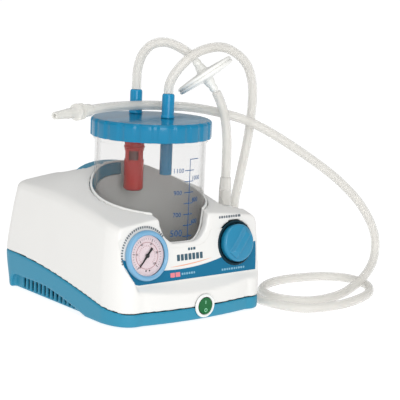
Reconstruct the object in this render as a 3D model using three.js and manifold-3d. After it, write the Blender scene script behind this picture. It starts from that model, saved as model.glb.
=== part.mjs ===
// Suction pump: a piston vacuum pump in a moulded housing, with a graduated jar, gauge,
// regulator, filter and hoses. Millimetres, X to the right, Y to the back, Z up.
// The origin is under the middle of the housing, at the level of its rubber feet.
import * as THREE from "three";
import { mergeVertices } from "three/addons/utils/BufferGeometryUtils.js";
import Module from "manifold-3d";

const wasm = await Module();
wasm.setup();

// ---- driving dimensions ----
const gap = 0.3; // running clearance between neighbouring pieces
const wall = 3; // moulded wall thickness
const facetSlack = 0.06; // facets that differ by less than this become one

const drawingShift = 7.15; // the pieces are drawn this far behind their place

// housing blank
const halfWidth = 90.5; // at the base
const seatY = 111; // the upright seat for the mains inlet
const backY = 105;
const cornerY = -96; // where the bowed front meets its round corners
const bowY = -102; // the front's furthest point
const topInset = 6; // how far each side leans in at the very top of the blank
const rearReach = 14; // how far the rear corners' rounding reaches along each wall
const backBulge = [7, 14.5, 9, -1, -13]; // how far the back stands beyond backY, from foot to top
const blankTop = 150;
const baseZ = 1.5; // underside of the base tray, above the feet

// front panel, a plane that leans back
const panelFoot = { y: -90, z: 42 };
const panelLean = Math.atan2(8, 56);
const ledgeDrop = 8; // the ledge under the panel falls this much while it runs forward ledgeRun
const ledgeRun = 9;

// jar, its well and the window in front of it
const jarX = -4;
const jarY = -20.5;
const jarRadius = 56;
const jarWall = 2;
const jarFloor = 22.3;
const jarRim = 185.4;
const wellRadius = 57.5;
const wellWall = 1.8;
const wellFloor = 19.5;
const lidTop = 191;
const lidFoot = 173;
const lidRadius = 60.6;
const windowX = -5.5; // the window's middle
const windowFoot = 76.3;

// controls
const gaugeX = -54.7;
const gaugeZ = 68.6;
const knobX = 57.6;
const knobZ = 70.2;
const knobRadius = 19;
const switchX = 8;
const switchZ = 15.2;
const switchRadius = 11.8;

// inlet nozzle on its shelf
const nozzleX = 72;
const nozzleY = -49;
const shelfZ = 98;

// carry handle
const handleX = -4;
const handleHalf = 42;
const handleFoot = 117;
const handleTop = 137.5;
const handleBar = 13;
const handleBack = 60;
const pocketHalf = 32;
const pocketFront = 44;
const pocketFloor = 99;

// motor and pump
const motorY = 64;
const motorZ = 36;
const motorRadius = 22;
const pumpX = 18;
const crankThrow = 4;

// hoses
const hoseRadius = 4.75;
const hoseBore = 3;
const tubeRadius = 3;

// ---- helpers ----
const v2 = (x, y) => new THREE.Vector2(x, y);
const v3 = (x, y, z) => new THREE.Vector3(x, y, z);
const up = v3(0, 0, 1);
const round = 36; // facets round the jar and everything that fits it

function solid(geometry) {
  const bare = geometry.clone();
  bare.deleteAttribute("normal");
  bare.deleteAttribute("uv");
  const merged = mergeVertices(bare, 1e-3);
  return new wasm.Manifold(
    new wasm.Mesh({
      numProp: 3,
      vertProperties: new Float32Array(merged.attributes.position.array),
      triVerts: new Uint32Array(merged.index.array),
    }),
  );
}

function geometryOf(manifold) {
  const mesh = manifold.simplify(facetSlack).getMesh();
  const geometry = new THREE.BufferGeometry();
  geometry.setAttribute("position", new THREE.BufferAttribute(new Float32Array(mesh.vertProperties), 3));
  geometry.setIndex(new THREE.BufferAttribute(new Uint32Array(mesh.triVerts), 1));
  geometry.computeVertexNormals();
  return geometry;
}

const join = (first, ...rest) => rest.reduce((sum, next) => sum.add(next), first);
const cut = (first, ...rest) => rest.reduce((left, tool) => left.subtract(tool), first);

// A shape drawn in X and Y, extruded up from z0 to z1.
function upright(shape, z0, z1, curveSegments = 12, steps = 1) {
  const options = { depth: z1 - z0, bevelEnabled: false, curveSegments, steps };
  const geometry = new THREE.ExtrudeGeometry(shape, options);
  return geometry.translate(0, 0, z0);
}

// A shape drawn in X and Z, extruded from y0 back to y1.
function rearward(shape, y0, y1, curveSegments = 12) {
  const geometry = new THREE.ExtrudeGeometry(shape, { depth: y1 - y0, bevelEnabled: false, curveSegments });
  const turn = new THREE.Matrix4().makeBasis(v3(1, 0, 0), up, v3(0, -1, 0));
  return geometry.applyMatrix4(turn).translate(0, y1, 0);
}

// A shape drawn in Y and Z, extruded across from x0 to x1.
function crosswise(shape, x0, x1, curveSegments = 12) {
  const geometry = new THREE.ExtrudeGeometry(shape, { depth: x1 - x0, bevelEnabled: false, curveSegments });
  const turn = new THREE.Matrix4().makeBasis(v3(0, 1, 0), up, v3(1, 0, 0));
  return geometry.applyMatrix4(turn).translate(x0, 0, 0);
}

const polygon = (points) => new THREE.Shape(points.map(([a, b]) => v2(a, b)));

function box(x0, x1, y0, y1, z0, z1) {
  const geometry = new THREE.BoxGeometry(x1 - x0, y1 - y0, z1 - z0);
  return geometry.translate((x0 + x1) / 2, (y0 + y1) / 2, (z0 + z1) / 2);
}

// A turned piece: profile points are [radius, height], outer side going up; its axis starts at `at`.
function turned(profile, at, axis = up, segments = 24) {
  const geometry = new THREE.LatheGeometry(profile.map(([r, h]) => v2(r, h)), segments);
  geometry.applyQuaternion(new THREE.Quaternion().setFromUnitVectors(v3(0, 1, 0), axis));
  return geometry.translate(at.x, at.y, at.z);
}

const rod = (radius, length, at, axis, segments) =>
  turned([[0, 0], [radius, 0], [radius, length], [0, length]], at, axis, segments);

// A pipe with its bore, from h0 to h1 along its axis.
const pipe = (outer, inner, h0, h1, at, axis, segments) =>
  turned([[inner, h0], [outer, h0], [outer, h1], [inner, h1], [inner, h0]], at, axis, segments);

function circle(x, y, radius) {
  const shape = new THREE.Shape();
  shape.absarc(x, y, radius, 0, Math.PI * 2);
  return shape;
}

function roundedRectangle(x0, x1, y0, y1, r) {
  const shape = new THREE.Shape();
  shape.moveTo(x0 + r, y0);
  shape.lineTo(x1 - r, y0);
  shape.absarc(x1 - r, y0 + r, r, -Math.PI / 2, 0);
  shape.lineTo(x1, y1 - r);
  shape.absarc(x1 - r, y1 - r, r, 0, Math.PI / 2);
  shape.lineTo(x0 + r, y1);
  shape.absarc(x0 + r, y1 - r, r, Math.PI / 2, Math.PI);
  shape.lineTo(x0, y0 + r);
  shape.absarc(x0 + r, y0 + r, r, Math.PI, Math.PI * 1.5);
  return shape;
}

const metal = { metalness: 0.9, roughness: 0.35 };
const gloss = { metalness: 0, roughness: 0.25 };
const matt = { metalness: 0, roughness: 0.6 };
const clear = { metalness: 0, roughness: 0.05, transparent: true, opacity: 0.35 };

const colours = {
  white: 0xe8e7e4, blue: 0x4f97bb, deepBlue: 0x0077a4, paleBlue: 0x93b9d8, navy: 0x1a4350,
  grey: 0xa9aaa8, black: 0x202224, steel: 0xb9bcc0, brass: 0xb89b5a, red: 0x9a2320,
  green: 0x1f7d4c, silicone: 0xdcdad5, clearWhite: 0xf3f2ee, dial: 0xe6dcdc,
};

const pump = new THREE.Group();
pump.position.y = -drawingShift;

function add(name, geometry, colour, finish = gloss, group = pump) {
  const material = new THREE.MeshStandardMaterial({ color: colours[colour], ...finish });
  const mesh = new THREE.Mesh(geometry, material);
  mesh.name = name;
  group.add(mesh);
  return mesh;
}

// ---- housing blank and its cutters; `inset` moves every wall inwards to make the inside ----
function planShape(inset) {
  const side = halfWidth - inset;
  const front = cornerY + inset;
  const back = backY - inset;
  const shape = new THREE.Shape();
  shape.moveTo(-side, -66);
  shape.quadraticCurveTo(-86 + inset, front - 3.5, -62, front);
  shape.quadraticCurveTo(0, 2 * (bowY + inset) - front, 68, front);
  shape.quadraticCurveTo(93 - inset, front - 7, side, -62);
  shape.lineTo(side, back - rearReach);
  shape.quadraticCurveTo(side, back, side - rearReach, back);
  shape.lineTo(rearReach - side, back);
  shape.quadraticCurveTo(-side, back, -side, back - rearReach);
  return shape;
}

// Height of the housing's top at a plan position: higher to the rear, crowned across,
// with a soft hump behind the jar.
function topHeight(x, y) {
  const rise = 112.6 - 20.6 * Math.pow(Math.max(0, (backY - y) / 197), 2.6);
  const across = Math.min(1, Math.abs(x) / 88);
  const crown = 6.5 * (1 - across * across);
  const spreadY = y < 33 ? 50 : 34;
  const far = Math.pow((x - jarX) / 48, 2) + Math.pow((y - 33) / spreadY, 2);
  const hump = 22 * Math.exp(-0.5 * far) * (1 - Math.pow(across, 4));
  return rise + crown + hump;
}

function blank(inset) {
  const fine = inset === 0;
  const plan = upright(planShape(inset), baseZ + inset, blankTop, fine ? 6 : 4, backBulge.length - 1);
  const position = plan.attributes.position;
  for (let i = 0; i < position.count; i++) {
    const level = (position.getZ(i) - baseZ - inset) / (blankTop - baseZ - inset);
    const x = position.getX(i);
    position.setX(i, x * (1 - (Math.max(0, level - 0.25) * topInset) / 0.75 / halfWidth));
    const y = position.getY(i);
    const bulge = backBulge[Math.round(level * (backBulge.length - 1))];
    if (y > 0) position.setY(i, y + (bulge * y) / backY);
  }
  const across = fine ? 10 : 6;
  const along = fine ? 12 : 7;
  const top = new THREE.BoxGeometry(200, 250, 150, across, along, 1).translate(0, 8, 75);
  const crowned = top.attributes.position;
  for (let i = 0; i < crowned.count; i++) {
    if (crowned.getZ(i) < 75) continue;
    crowned.setZ(i, topHeight(crowned.getX(i), crowned.getY(i)) - inset);
  }
  return solid(plan).intersect(solid(top));
}

// The panel's outline in X and Z: slanted at the left, square at the right.
function panelOutline(inset) {
  return polygon([
    [-66 - inset, panelFoot.z - 30],
    [-66 - inset, panelFoot.z - inset],
    [-79.4 - inset, 62],
    [-83.6 - inset, 92],
    [-84 - inset, blankTop + 10],
    [120, blankTop + 10],
    [120, panelFoot.z - 30],
  ]);
}

function panelCutter(inset) {
  const rise = 120;
  const y = panelFoot.y + inset;
  const side = polygon([
    [y, panelFoot.z - inset],
    [y + rise * Math.tan(panelLean), panelFoot.z + rise],
    [y - 60, panelFoot.z + rise],
    [y - 60, panelFoot.z - inset - (ledgeDrop / ledgeRun) * 60],
  ]);
  return solid(crosswise(side, -130, 130)).intersect(solid(rearward(panelOutline(inset), -160, 0)));
}

// The window's outline in X and Z, a U that widens upwards.
function windowOutline(inset) {
  const half = [[14.5, 0], [20.5, 3.7], [25, 8.7], [27.5, 13.7], [30.2, 23.7], [33, 60]];
  const right = half.map(([x, z]) => [windowX + x + inset, windowFoot + z - (z < 5 ? inset : 0)]);
  const left = half.map(([x, z]) => [windowX - x - inset, windowFoot + z - (z < 5 ? inset : 0)]);
  return polygon([...right, ...left.reverse()]);
}

const windowCutter = (inset) => solid(rearward(windowOutline(inset), -120, jarY - 30));

function ventCutter(side, inset) {
  const outline = new THREE.Shape();
  outline.moveTo(100 + inset, -10);
  outline.lineTo(100 + inset, 9);
  outline.quadraticCurveTo(100 + inset, 16.5 + inset, 88, 16.5 + inset);
  outline.lineTo(44, 17 + inset);
  outline.quadraticCurveTo(8, 15 + inset, -46, 0);
  outline.lineTo(-46, -10);
  const depth = 6 + inset;
  const x0 = side > 0 ? halfWidth - depth : -halfWidth - 20;
  return solid(crosswise(outline, x0, x0 + depth + 20, 4));
}

const shelfCutter = (inset) =>
  solid(
    upright(
      roundedRectangle(nozzleX - 12 - inset, 130, -64 - inset, 2 + inset, 12),
      shelfZ - inset, 160, 4,
    ),
  );

const pocketCutter = (inset) =>
  solid(
    rearward(
      roundedRectangle(handleX - pocketHalf - inset, handleX + pocketHalf + inset, pocketFloor - inset, 190, 8),
      pocketFront - inset, 160, 4,
    ),
  );

// A flat, upright seat in the bulging back for the mains inlet and the fuse.
const seatCutter = (inset) =>
  solid(box(-72 - inset, 2 + inset, seatY - inset, 160, 6.5 - inset, 37 + inset));

const cutters = (inset) => [
  seatCutter(inset),
  panelCutter(inset), windowCutter(inset), ventCutter(-1, inset), ventCutter(1, inset),
  shelfCutter(inset), pocketCutter(inset),
];

// The parting line between cover and base, seen from the side: low at the front, rising to the rear.
function belowParting(offset) {
  const outline = new THREE.Shape();
  outline.moveTo(-140, -20);
  outline.lineTo(150, -20);
  outline.lineTo(150, 39.7 + offset);
  for (let y = 108; y >= -72; y -= 20) {
    outline.lineTo(y, 17.2 + 22.5 * Math.sin(((y + 72) / 180) * (Math.PI / 2)) + offset);
  }
  outline.lineTo(-92, 14.5 + offset);
  outline.lineTo(-140, 13 + offset);
  return solid(crosswise(outline, -130, 130));
}

// ---- carry handle ----
function handleBand(grow) {
  const outer = new THREE.Shape();
  outer.moveTo(handleX - handleHalf - grow, handleFoot - 6 - grow);
  outer.lineTo(handleX - handleHalf - grow, handleFoot + 5);
  outer.quadraticCurveTo(handleX - handleHalf + 10, handleTop + grow, handleX, handleTop + grow);
  outer.quadraticCurveTo(
    handleX + handleHalf - 10, handleTop + grow,
    handleX + handleHalf + grow, handleFoot + 5,
  );
  outer.lineTo(handleX + handleHalf + grow, handleFoot - 6 - grow);
  outer.lineTo(handleX + pocketHalf + 1 - grow, handleFoot - 6 - grow);
  const inner = handleTop - handleBar - grow;
  outer.quadraticCurveTo(handleX + pocketHalf - 4, inner, handleX, inner);
  outer.quadraticCurveTo(
    handleX - pocketHalf + 4, inner,
    handleX - pocketHalf - 1 + grow, handleFoot - 6 - grow,
  );
  return solid(rearward(outer, 10, handleBack + grow, 6));
}

const wellAxis = v3(jarX, jarY, 0);
const handle = cut(handleBand(0), solid(rod(wellRadius + 0.2, 200, wellAxis, up, round)));
add("carry_handle", geometryOf(handle), "blue");

// ---- top cover, base tray and jar well ----
const outside = cut(blank(0), ...cutters(0));
const inside = cut(blank(wall), ...cutters(wall));
const shell = outside.subtract(inside);

const corners = [[-1, -1], [1, -1], [-1, 1], [1, 1]];
const postX = 74;
const postFrontY = -65;
const postRearY = 88;
const postAt = ([sx, sy]) => [sx * postX, sy < 0 ? postFrontY : postRearY];

const panelHole = (x, z, radius, y0 = -140, y1 = -77) => solid(rearward(circle(x, z, radius), y0, y1, 8));
const switchHole = (radius) => panelHole(switchX, switchZ, radius, -130, -80);
const boreAt = (x, y, radius, z0, z1) => solid(rod(radius, z1 - z0, v3(x, y, z0), up, 16));

const gaugeHoleRadius = 20.5;
const collarHoleRadius = 22.4;
const mainsX = -48;
const mainsZ = 21.8;
const backHole = (x, z, halfX, halfZ) =>
  solid(box(x - halfX, x + halfX, seatY - 20, seatY + 9, z - halfZ, z + halfZ));
const mainsHole = backHole(mainsX, mainsZ, 14.3, 10.8);
const fuseX = mainsX + 30;
const fuseHole = backHole(fuseX, mainsZ, 9.3, 8.3);

const coverPosts = corners.map((corner) => {
  const [x, y] = postAt(corner);
  return boreAt(x, y, 5, 24, 140);
});
let cover = join(shell, ...coverPosts.map((post) => post.intersect(outside))).subtract(belowParting(gap / 2));
cover = cut(
  cover,
  solid(rod(wellRadius + wellWall + gap, 200, wellAxis, up, round)),
  handleBand(gap),
  panelHole(gaugeX, gaugeZ, gaugeHoleRadius),
  panelHole(knobX, knobZ, collarHoleRadius),
  switchHole(switchRadius - 1.5),
  boreAt(nozzleX, nozzleY, 4.3, 80, 110),
  ...corners.map((corner) => boreAt(...postAt(corner), 1.8, 10, 44)),
);
add("top_cover", geometryOf(cover), "white");

const ventSlots = [];
for (const side of [-1, 1]) {
  for (let i = 0; i < 16; i++) {
    const y = 83 - i * 7.8;
    const roof = Math.min(14.8, 15.8 * (1 - Math.pow(Math.max(0, (50 - y) / 98), 2)));
    if (roof < 6) continue;
    const x = side * (halfWidth - 8);
    ventSlots.push(solid(box(x - 6, x + 6, y - 1.9, y + 1.9, 5.2, roof)));
  }
}
const seatRing = solid(pipe(48, 45, 3, wellFloor - gap, wellAxis, up, 18));
const basePosts = corners.map((corner) => boreAt(...postAt(corner), 5, 3, 10).intersect(outside));
const footInset = { x: 60, front: -80, rear: 96 };
const footAt = ([sx, sy]) => [sx * footInset.x, sy < 0 ? footInset.front : footInset.rear];
let base = join(shell.intersect(belowParting(-gap / 2)), seatRing, ...basePosts);
base = cut(
  base,
  ...ventSlots,
  switchHole(switchRadius - 1.5),
  mainsHole,
  fuseHole,
  ...corners.map((corner) => boreAt(...postAt(corner), 1.9, -5, 20)),
  ...corners.map((corner) => boreAt(...postAt(corner), 3.6, -5, 4.5)),
  ...corners.map((corner) => boreAt(...footAt(corner), 2.6, -5, 10)),
);
add("base_tray", geometryOf(base), "blue");

const wellCup = turned(
  [
    [0, wellFloor], [wellRadius + wellWall, wellFloor], [wellRadius + wellWall, 160],
    [wellRadius, 160], [wellRadius, jarFloor - gap], [0, jarFloor - gap],
  ],
  wellAxis, up, 48,
);
add("jar_well", geometryOf(solid(wellCup).intersect(outside).subtract(handleBand(gap))), "grey", matt);

corners.forEach((corner, i) => {
  const [x, y] = postAt(corner);
  const screw = turned(
    [[0, 2], [3.2, 2], [3.2, 4.2], [1.5, 4.2], [1.5, 34], [0, 35.5]],
    v3(x, y, 0), up, 8,
  );
  add(`case_screw_${i + 1}`, screw, "steel", metal);
  const [fx, fy] = footAt(corner);
  const foot = turned(
    [[0, 0], [8, 0], [9, 1.2], [2.3, 1.2], [2.3, 6.5], [0, 6.5]],
    v3(fx, fy, 0), up, 14,
  );
  add(`foot_${i + 1}`, foot, "black", matt);
});

// ---- front label, a thin film lying on the panel ----
const panelAxis = v3(0, -Math.cos(panelLean), Math.sin(panelLean));
const panelUp = v3(0, Math.sin(panelLean), Math.cos(panelLean));
const panelBasis = new THREE.Matrix4().makeBasis(v3(1, 0, 0), panelUp, panelAxis);
const panelPoint = (x, z) => v3(x, panelFoot.y + (z - panelFoot.z) * Math.tan(panelLean), z);

function labelFilm() {
  const outline = polygon([
    [-64, 44.5], [83, 44.5], [84, 68], [79, 86], [windowX + 31, 86], [windowX + 29, 80],
    [windowX + 23, 74.5], [windowX + 17, 72.5], [windowX - 17, 72.5], [windowX - 23, 74.5],
    [windowX - 29, 80], [windowX - 31, 86], [-81, 86], [-78, 64],
  ]);
  const film = solid(rearward(outline, -60, 60));
  const sheet = box(-120, 120, -gap - 0.5, -gap, -60, 90).rotateX(-panelLean);
  const skin = solid(sheet.translate(0, panelFoot.y, panelFoot.z));
  return cut(
    film.translate([0, -100, 0]).intersect(skin),
    panelHole(gaugeX, gaugeZ, 20.8),
    panelHole(knobX, knobZ, 22.8),
  );
}
add("front_label", geometryOf(labelFilm()), "white");

// ---- vacuum gauge ----
const gaugeBase = panelPoint(gaugeX, gaugeZ);
const onPanel = (point, forward) => point.clone().addScaledVector(panelAxis, forward);
const facing = (profile, point, segments) => turned(profile, point, panelAxis, segments);

add("gauge_bezel", facing(
  [
    [20.6, 1.2], [24.2, 1.2], [24.4, 4], [22.5, 6.8], [21.2, 7],
    [19.4, 5.4], [19.4, 5.1], [20.6, 5.1], [20.6, 1.2],
  ],
  gaugeBase, 36), "paleBlue");
add("gauge_case", facing(
  [[0, -10.5], [19.6, -10.5], [19.6, 0], [20.2, 0], [20.2, 2.3], [18.8, 2.3], [18.8, -9], [0, -9]],
  gaugeBase, 28), "steel", metal);
add("gauge_dial", facing([[0, 2.6], [19.8, 2.6], [19.8, 3.2], [0, 3.2]], gaugeBase, 32), "dial");
add("gauge_lens", facing(
  [[0, 5.4], [19, 5.4], [19, 5.9], [0, 6.4]], gaugeBase, 32), "clearWhite", clear);
const bourdonPath = new THREE.CatmullRomCurve3(
  Array.from({ length: 9 }, (_, i) => {
    const angle = -Math.PI * 0.35 + (i / 8) * Math.PI * 1.45;
    return v3(13 * Math.cos(angle), 13 * Math.sin(angle), 0);
  }),
);
const bourdon = new THREE.ExtrudeGeometry(circle(0, 0, 1.6), {
  steps: 20, extrudePath: bourdonPath, curveSegments: 4, bevelEnabled: false,
});
bourdon.applyQuaternion(new THREE.Quaternion().setFromUnitVectors(up, panelAxis));
const bourdonAt = onPanel(gaugeBase, -4);
add("bourdon_tube", bourdon.translate(bourdonAt.x, bourdonAt.y, bourdonAt.z), "brass", metal);

const needleTurn = THREE.MathUtils.degToRad(228); // where the needle points at rest, from the panel's +X
function needle() {
  const blade = polygon([[15, 0.35], [15, -0.35], [0, -1.5], [-9, -1.3], [-9, 1.3], [0, 1.5]]);
  const flat = new THREE.ExtrudeGeometry(blade, { depth: 0.5, bevelEnabled: false });
  const hub = new THREE.CylinderGeometry(2.1, 2.1, 1.1, 20).rotateX(Math.PI / 2).translate(0, 0, 0.35);
  const merged = geometryOf(solid(flat.rotateZ(needleTurn)).add(solid(hub)));
  const at = onPanel(gaugeBase, 3.9);
  return merged.applyMatrix4(panelBasis).translate(at.x, at.y, at.z);
}
add("gauge_needle", needle(), "black", matt);

// ---- regulator ----
const knobBase = panelPoint(knobX, knobZ);
add("knob_collar", facing(
  [[4.2, -4], [21.6, -4], [21.6, 0.5], [22.4, 0.5], [22.4, 1], [20.2, 1], [20.2, -2.6], [4.2, -2.6], [4.2, -4]],
  knobBase, 28), "navy", matt);
function knob() {
  const body = solid(facing(
    [[0, -1.6], [18.2, -1.6], [knobRadius, 1], [knobRadius, 6.6], [knobRadius - 1.4, 8.4], [0, 8.4]],
    knobBase, 32));
  const scoop = new THREE.CylinderGeometry(30, 30, 60, 40).rotateZ(Math.PI / 2);
  const gripTurn = THREE.MathUtils.degToRad(50);
  const at = onPanel(knobBase, 8.4);
  const sides = [-1, 1].map((side) => {
    const tool = scoop.clone().translate(0, side * 13, 27).rotateZ(gripTurn).applyMatrix4(panelBasis);
    return solid(tool.translate(at.x, at.y, at.z));
  });
  return geometryOf(cut(body, ...sides, solid(facing([[0, -3], [3, -3], [3, 4], [0, 4]], knobBase, 16))));
}
add("regulator_knob", knob(), "blue");
add("regulator_stem", facing([[0, -19], [2.6, -19], [2.6, 3.6], [0, 3.6]], knobBase, 16), "brass", metal);
add("regulator_valve", facing(
  [[3, -21], [8, -21], [8, -18], [9.5, -18], [9.5, -8], [3.9, -8], [3.9, -4.5], [3, -4.5], [3, -21]],
  knobBase, 24), "brass", metal);

// ---- rocker switch ----
const bumperY = bowY + 0.05;
const front = v3(0, -1, 0);
const switchAt = v3(switchX, bumperY, switchZ);
add("switch_bezel", turned(
  [[8.8, 0.35], [switchRadius, 0.35], [switchRadius, 1.2], [10.8, 2.4], [8.8, 2.4], [8.8, 0.35]],
  switchAt, front, 28), "white");
add("switch_body", turned(
  [[0, -22], [9.8, -22], [9.8, 0.05], [8.8, 0.05], [8.8, -12], [0, -12]], switchAt, front, 20), "black", matt);
function rocker() {
  const side = new THREE.Shape();
  side.moveTo(-3.2, -9);
  side.lineTo(3.4, -9);
  side.lineTo(2.2, 0);
  side.lineTo(2.4, 9);
  side.lineTo(-1.2, 9);
  side.lineTo(-3.2, 0);
  const geometry = new THREE.ExtrudeGeometry(side, { depth: 18, bevelEnabled: false });
  const turn = new THREE.Matrix4().makeBasis(v3(0, -1, 0), up, v3(-1, 0, 0));
  geometry.applyMatrix4(turn).translate(switchX + 9, bumperY, switchZ);
  const round = turned([[0, -8], [8.1, -8], [8.1, 6], [0, 6]], switchAt, front, 20);
  return geometryOf(solid(geometry).intersect(solid(round)));
}
add("switch_rocker", rocker(), "green");

// ---- inlet nozzle, mains inlet and fuse ----
add("inlet_nozzle", turned(
  [
    [1.6, 86], [3.2, 86], [3.9, 88.5], [3.9, shelfZ + gap], [8, shelfZ + gap], [8, shelfZ + 2],
    [3.6, 101.5], [4.2, 104], [3.2, 109], [2.9, 115], [1.6, 115], [1.6, 86],
  ],
  v3(nozzleX, nozzleY, 0), up, 20), "white");

const backSkin = seatY;
function mainsInlet() {
  const outline = (halfX, halfZ, r) =>
    roundedRectangle(mainsX - halfX, mainsX + halfX, mainsZ - halfZ, mainsZ + halfZ, r);
  const flange = solid(rearward(outline(17, 13, 3), backSkin + gap, backSkin + 2.5, 4));
  const body = solid(box(mainsX - 13.8, mainsX + 13.8, backSkin - 18, backSkin + 1, mainsZ - 10.3, mainsZ + 10.3));
  const cavity = solid(rearward(outline(11, 7.5, 2), backSkin - 15, backSkin + 10, 4));
  const pins = [-7, 0, 7].map((offset) => {
    const x = mainsX + offset;
    return solid(box(x - 1, x + 1, backSkin - 16, backSkin - 2, mainsZ - 2.5, mainsZ + 2.5));
  });
  return join(cut(join(flange, body), cavity), ...pins);
}
add("mains_inlet", geometryOf(mainsInlet()), "black", matt);
function fuseDrawer() {
  const outline = roundedRectangle(fuseX - 11, fuseX + 11, mainsZ - 10, mainsZ + 10, 2);
  const face = solid(rearward(outline, backSkin + gap, backSkin + 2.2, 4));
  const body = solid(box(fuseX - 9, fuseX + 9, backSkin - 16, backSkin + 1, mainsZ - 8, mainsZ + 8));
  const grip = solid(box(fuseX - 6, fuseX + 6, backSkin + 1.2, backSkin + 4, mainsZ - 1.2, mainsZ + 1.2));
  return cut(join(face, body), grip);
}
add("fuse_drawer", geometryOf(fuseDrawer()), "black", matt);

// ---- motor, crank and pump ----
const across = v3(1, 0, 0);
const motorAt = v3(-54, motorY, motorZ);
add("motor_can", turned(
  [[4, 0], [motorRadius, 0], [motorRadius, 44], [motorRadius - 2, 44], [motorRadius - 2, 2], [4, 2], [4, 0]],
  motorAt, across, 28), "steel", metal);
add("motor_end_cap", turned(
  [[4, 41], [19.4, 41], [19.4, 44.3], [motorRadius, 44.3], [motorRadius, 48], [4, 48], [4, 41]],
  motorAt, across, 28), "black", matt);
function motorShaft() {
  const shaft = solid(rod(3, 68, v3(-65, motorY, motorZ), across, 16));
  const armature = solid(rod(17, 32, v3(-49, motorY, motorZ), across, 20));
  const disc = solid(rod(9, 5, v3(3, motorY, motorZ), across, 24));
  const pin = solid(rod(3, 12, v3(7, motorY, motorZ + crankThrow), across, 16));
  return join(shaft, armature, disc, pin);
}
add("motor_shaft", geometryOf(motorShaft()), "steel", metal);
function coolingFan() {
  const hub = solid(pipe(7, 3 + gap, 0, 7, v3(-64.3, motorY, motorZ), across, 20));
  const blades = Array.from({ length: 6 }, (_, i) => {
    const blade = new THREE.BoxGeometry(6, 12, 1.5).rotateY(0.5).translate(0, 12.5, 0);
    return solid(blade.rotateX((i * Math.PI) / 3).translate(-60.8, motorY, motorZ));
  });
  return join(hub, ...blades);
}
add("cooling_fan", geometryOf(coolingFan()), "black", matt);

function motorCradle() {
  const plate = solid(box(-52, -8, motorY - 20, motorY + 20, 9, 12));
  const block = solid(box(-46, -14, motorY - 16, motorY + 16, 10, 24));
  const seat = solid(rod(motorRadius + gap, 80, v3(-70, motorY, motorZ), across, 28));
  const feet = [[-47, -15], [-13, -15], [-47, 15], [-13, 15]].map(([x, y]) => boreAt(x, motorY + y, 4, 4.5 + gap, 10));
  return join(cut(join(plate, block), seat), ...feet);
}
add("motor_cradle", geometryOf(motorCradle()), "black", matt);

const caseBox = { x0: 1.5, x1: 36, y0: motorY - 19, y1: motorY + 19, z0: 4.5 + gap, z1: 60 };
function pumpCase() {
  const { x0, x1, y0, y1, z0, z1 } = caseBox;
  const block = solid(box(x0 + 1, x1, y0, y1, z0, z1));
  const hollow = solid(box(x0 + 3.5, x1 + 5, y0 + 3, y1 - 3, 16, z1 - 4));
  const shaftHole = solid(rod(9.6, 20, v3(-6, motorY, motorZ), across, 24));
  return cut(block, hollow, shaftHole, boreAt(pumpX, motorY, 13.4, 50, 70));
}
add("pump_case", geometryOf(pumpCase()), "steel", metal);

const cylinderAt = v3(pumpX, motorY, 0);
add("pump_cylinder", turned(
  [[13, 60 + gap], [16.5, 60 + gap], [16.5, 80], [13, 80], [13, 60 + gap]], cylinderAt, up, 28), "steel", metal);
function pumpHead() {
  const cap = solid(rod(17.5, 9, v3(pumpX, motorY, 80 + gap), up, 28));
  const spigots = [-7, 7].map((y) => solid(rod(2.5, 12, v3(pumpX + 14, motorY + y, 85), across, 16)));
  return join(cap, ...spigots);
}
add("pump_head", geometryOf(pumpHead()), "steel", metal);
function pumpPiston() {
  const crown = solid(rod(12.6, 5, v3(pumpX, motorY, 68), up, 28));
  const link = solid(box(10, 16, motorY - 3.5, motorY + 3.5, motorZ + 12.5, 69));
  const neck = solid(box(10, pumpX + 3, motorY - 3.5, motorY + 3.5, 62, 69));
  const eye = solid(pipe(14.5, 11.6, 0, 6, v3(10, motorY, motorZ), across, 24));
  return join(crown, link, neck, eye);
}
add("pump_piston", geometryOf(pumpPiston()), "grey", matt);
const silencerAt = v3(57, 64, 4.5 + gap);
add("exhaust_silencer", turned(
  [[0, 0], [10, 0], [10, 24], [3, 26], [3, 32], [0, 32]], silencerAt, up, 24), "blue");

// ---- inner tubes and hoses: round sections along smooth curves ----
function hose(points, radius, steps, sides = 10, bore = 0) {
  const path = new THREE.CatmullRomCurve3(points.map(([x, y, z]) => v3(x, y, z)), false, "centripetal");
  const section = new THREE.Shape();
  for (let i = 0; i < sides; i++) {
    const angle = (i * 2 * Math.PI) / sides;
    section[i ? "lineTo" : "moveTo"](radius * Math.cos(angle), radius * Math.sin(angle));
  }
  if (bore) {
    const hole = new THREE.Path();
    for (let i = 0; i < sides; i++) {
      const angle = (-i * 2 * Math.PI) / sides;
      hole[i ? "lineTo" : "moveTo"](bore * Math.cos(angle), bore * Math.sin(angle));
    }
    section.holes.push(hole);
  }
  return new THREE.ExtrudeGeometry(section, { steps, extrudePath: path, bevelEnabled: false });
}

add("pump_tube", hose(
  [
    [44.6, 57, 85], [50, 57, 84.6], [63, 50, 77], [73, 30, 66], [75, 0, 60], [75, -28, 60],
    [73, -43, 65], [nozzleX, nozzleY, 76], [nozzleX, nozzleY, 85.5],
  ],
  tubeRadius, 28, 8), "silicone");
add("silencer_tube", hose(
  [[44.6, 71, 85], [50, 71, 84.4], [57, 70, 76], [58, 66, 58], [57, 64, 46], [57, 64, 37.4]],
  tubeRadius, 16, 8), "silicone");
add("gauge_tube", hose(
  [
    [knobX, -63.2, 66.9], [knobX, -58, 64], [62, -52, 52], [64, -56, 38], [56, -72, 30],
    [30, -86, 29], [-20, -87, 30], [-56, -68, 34], [-66, -54, 46], [-62, -52, 60],
    [gaugeX, -60, 66], [gaugeX, -72.4, 66.7],
  ],
  2, 30, 6), "silicone");

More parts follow.
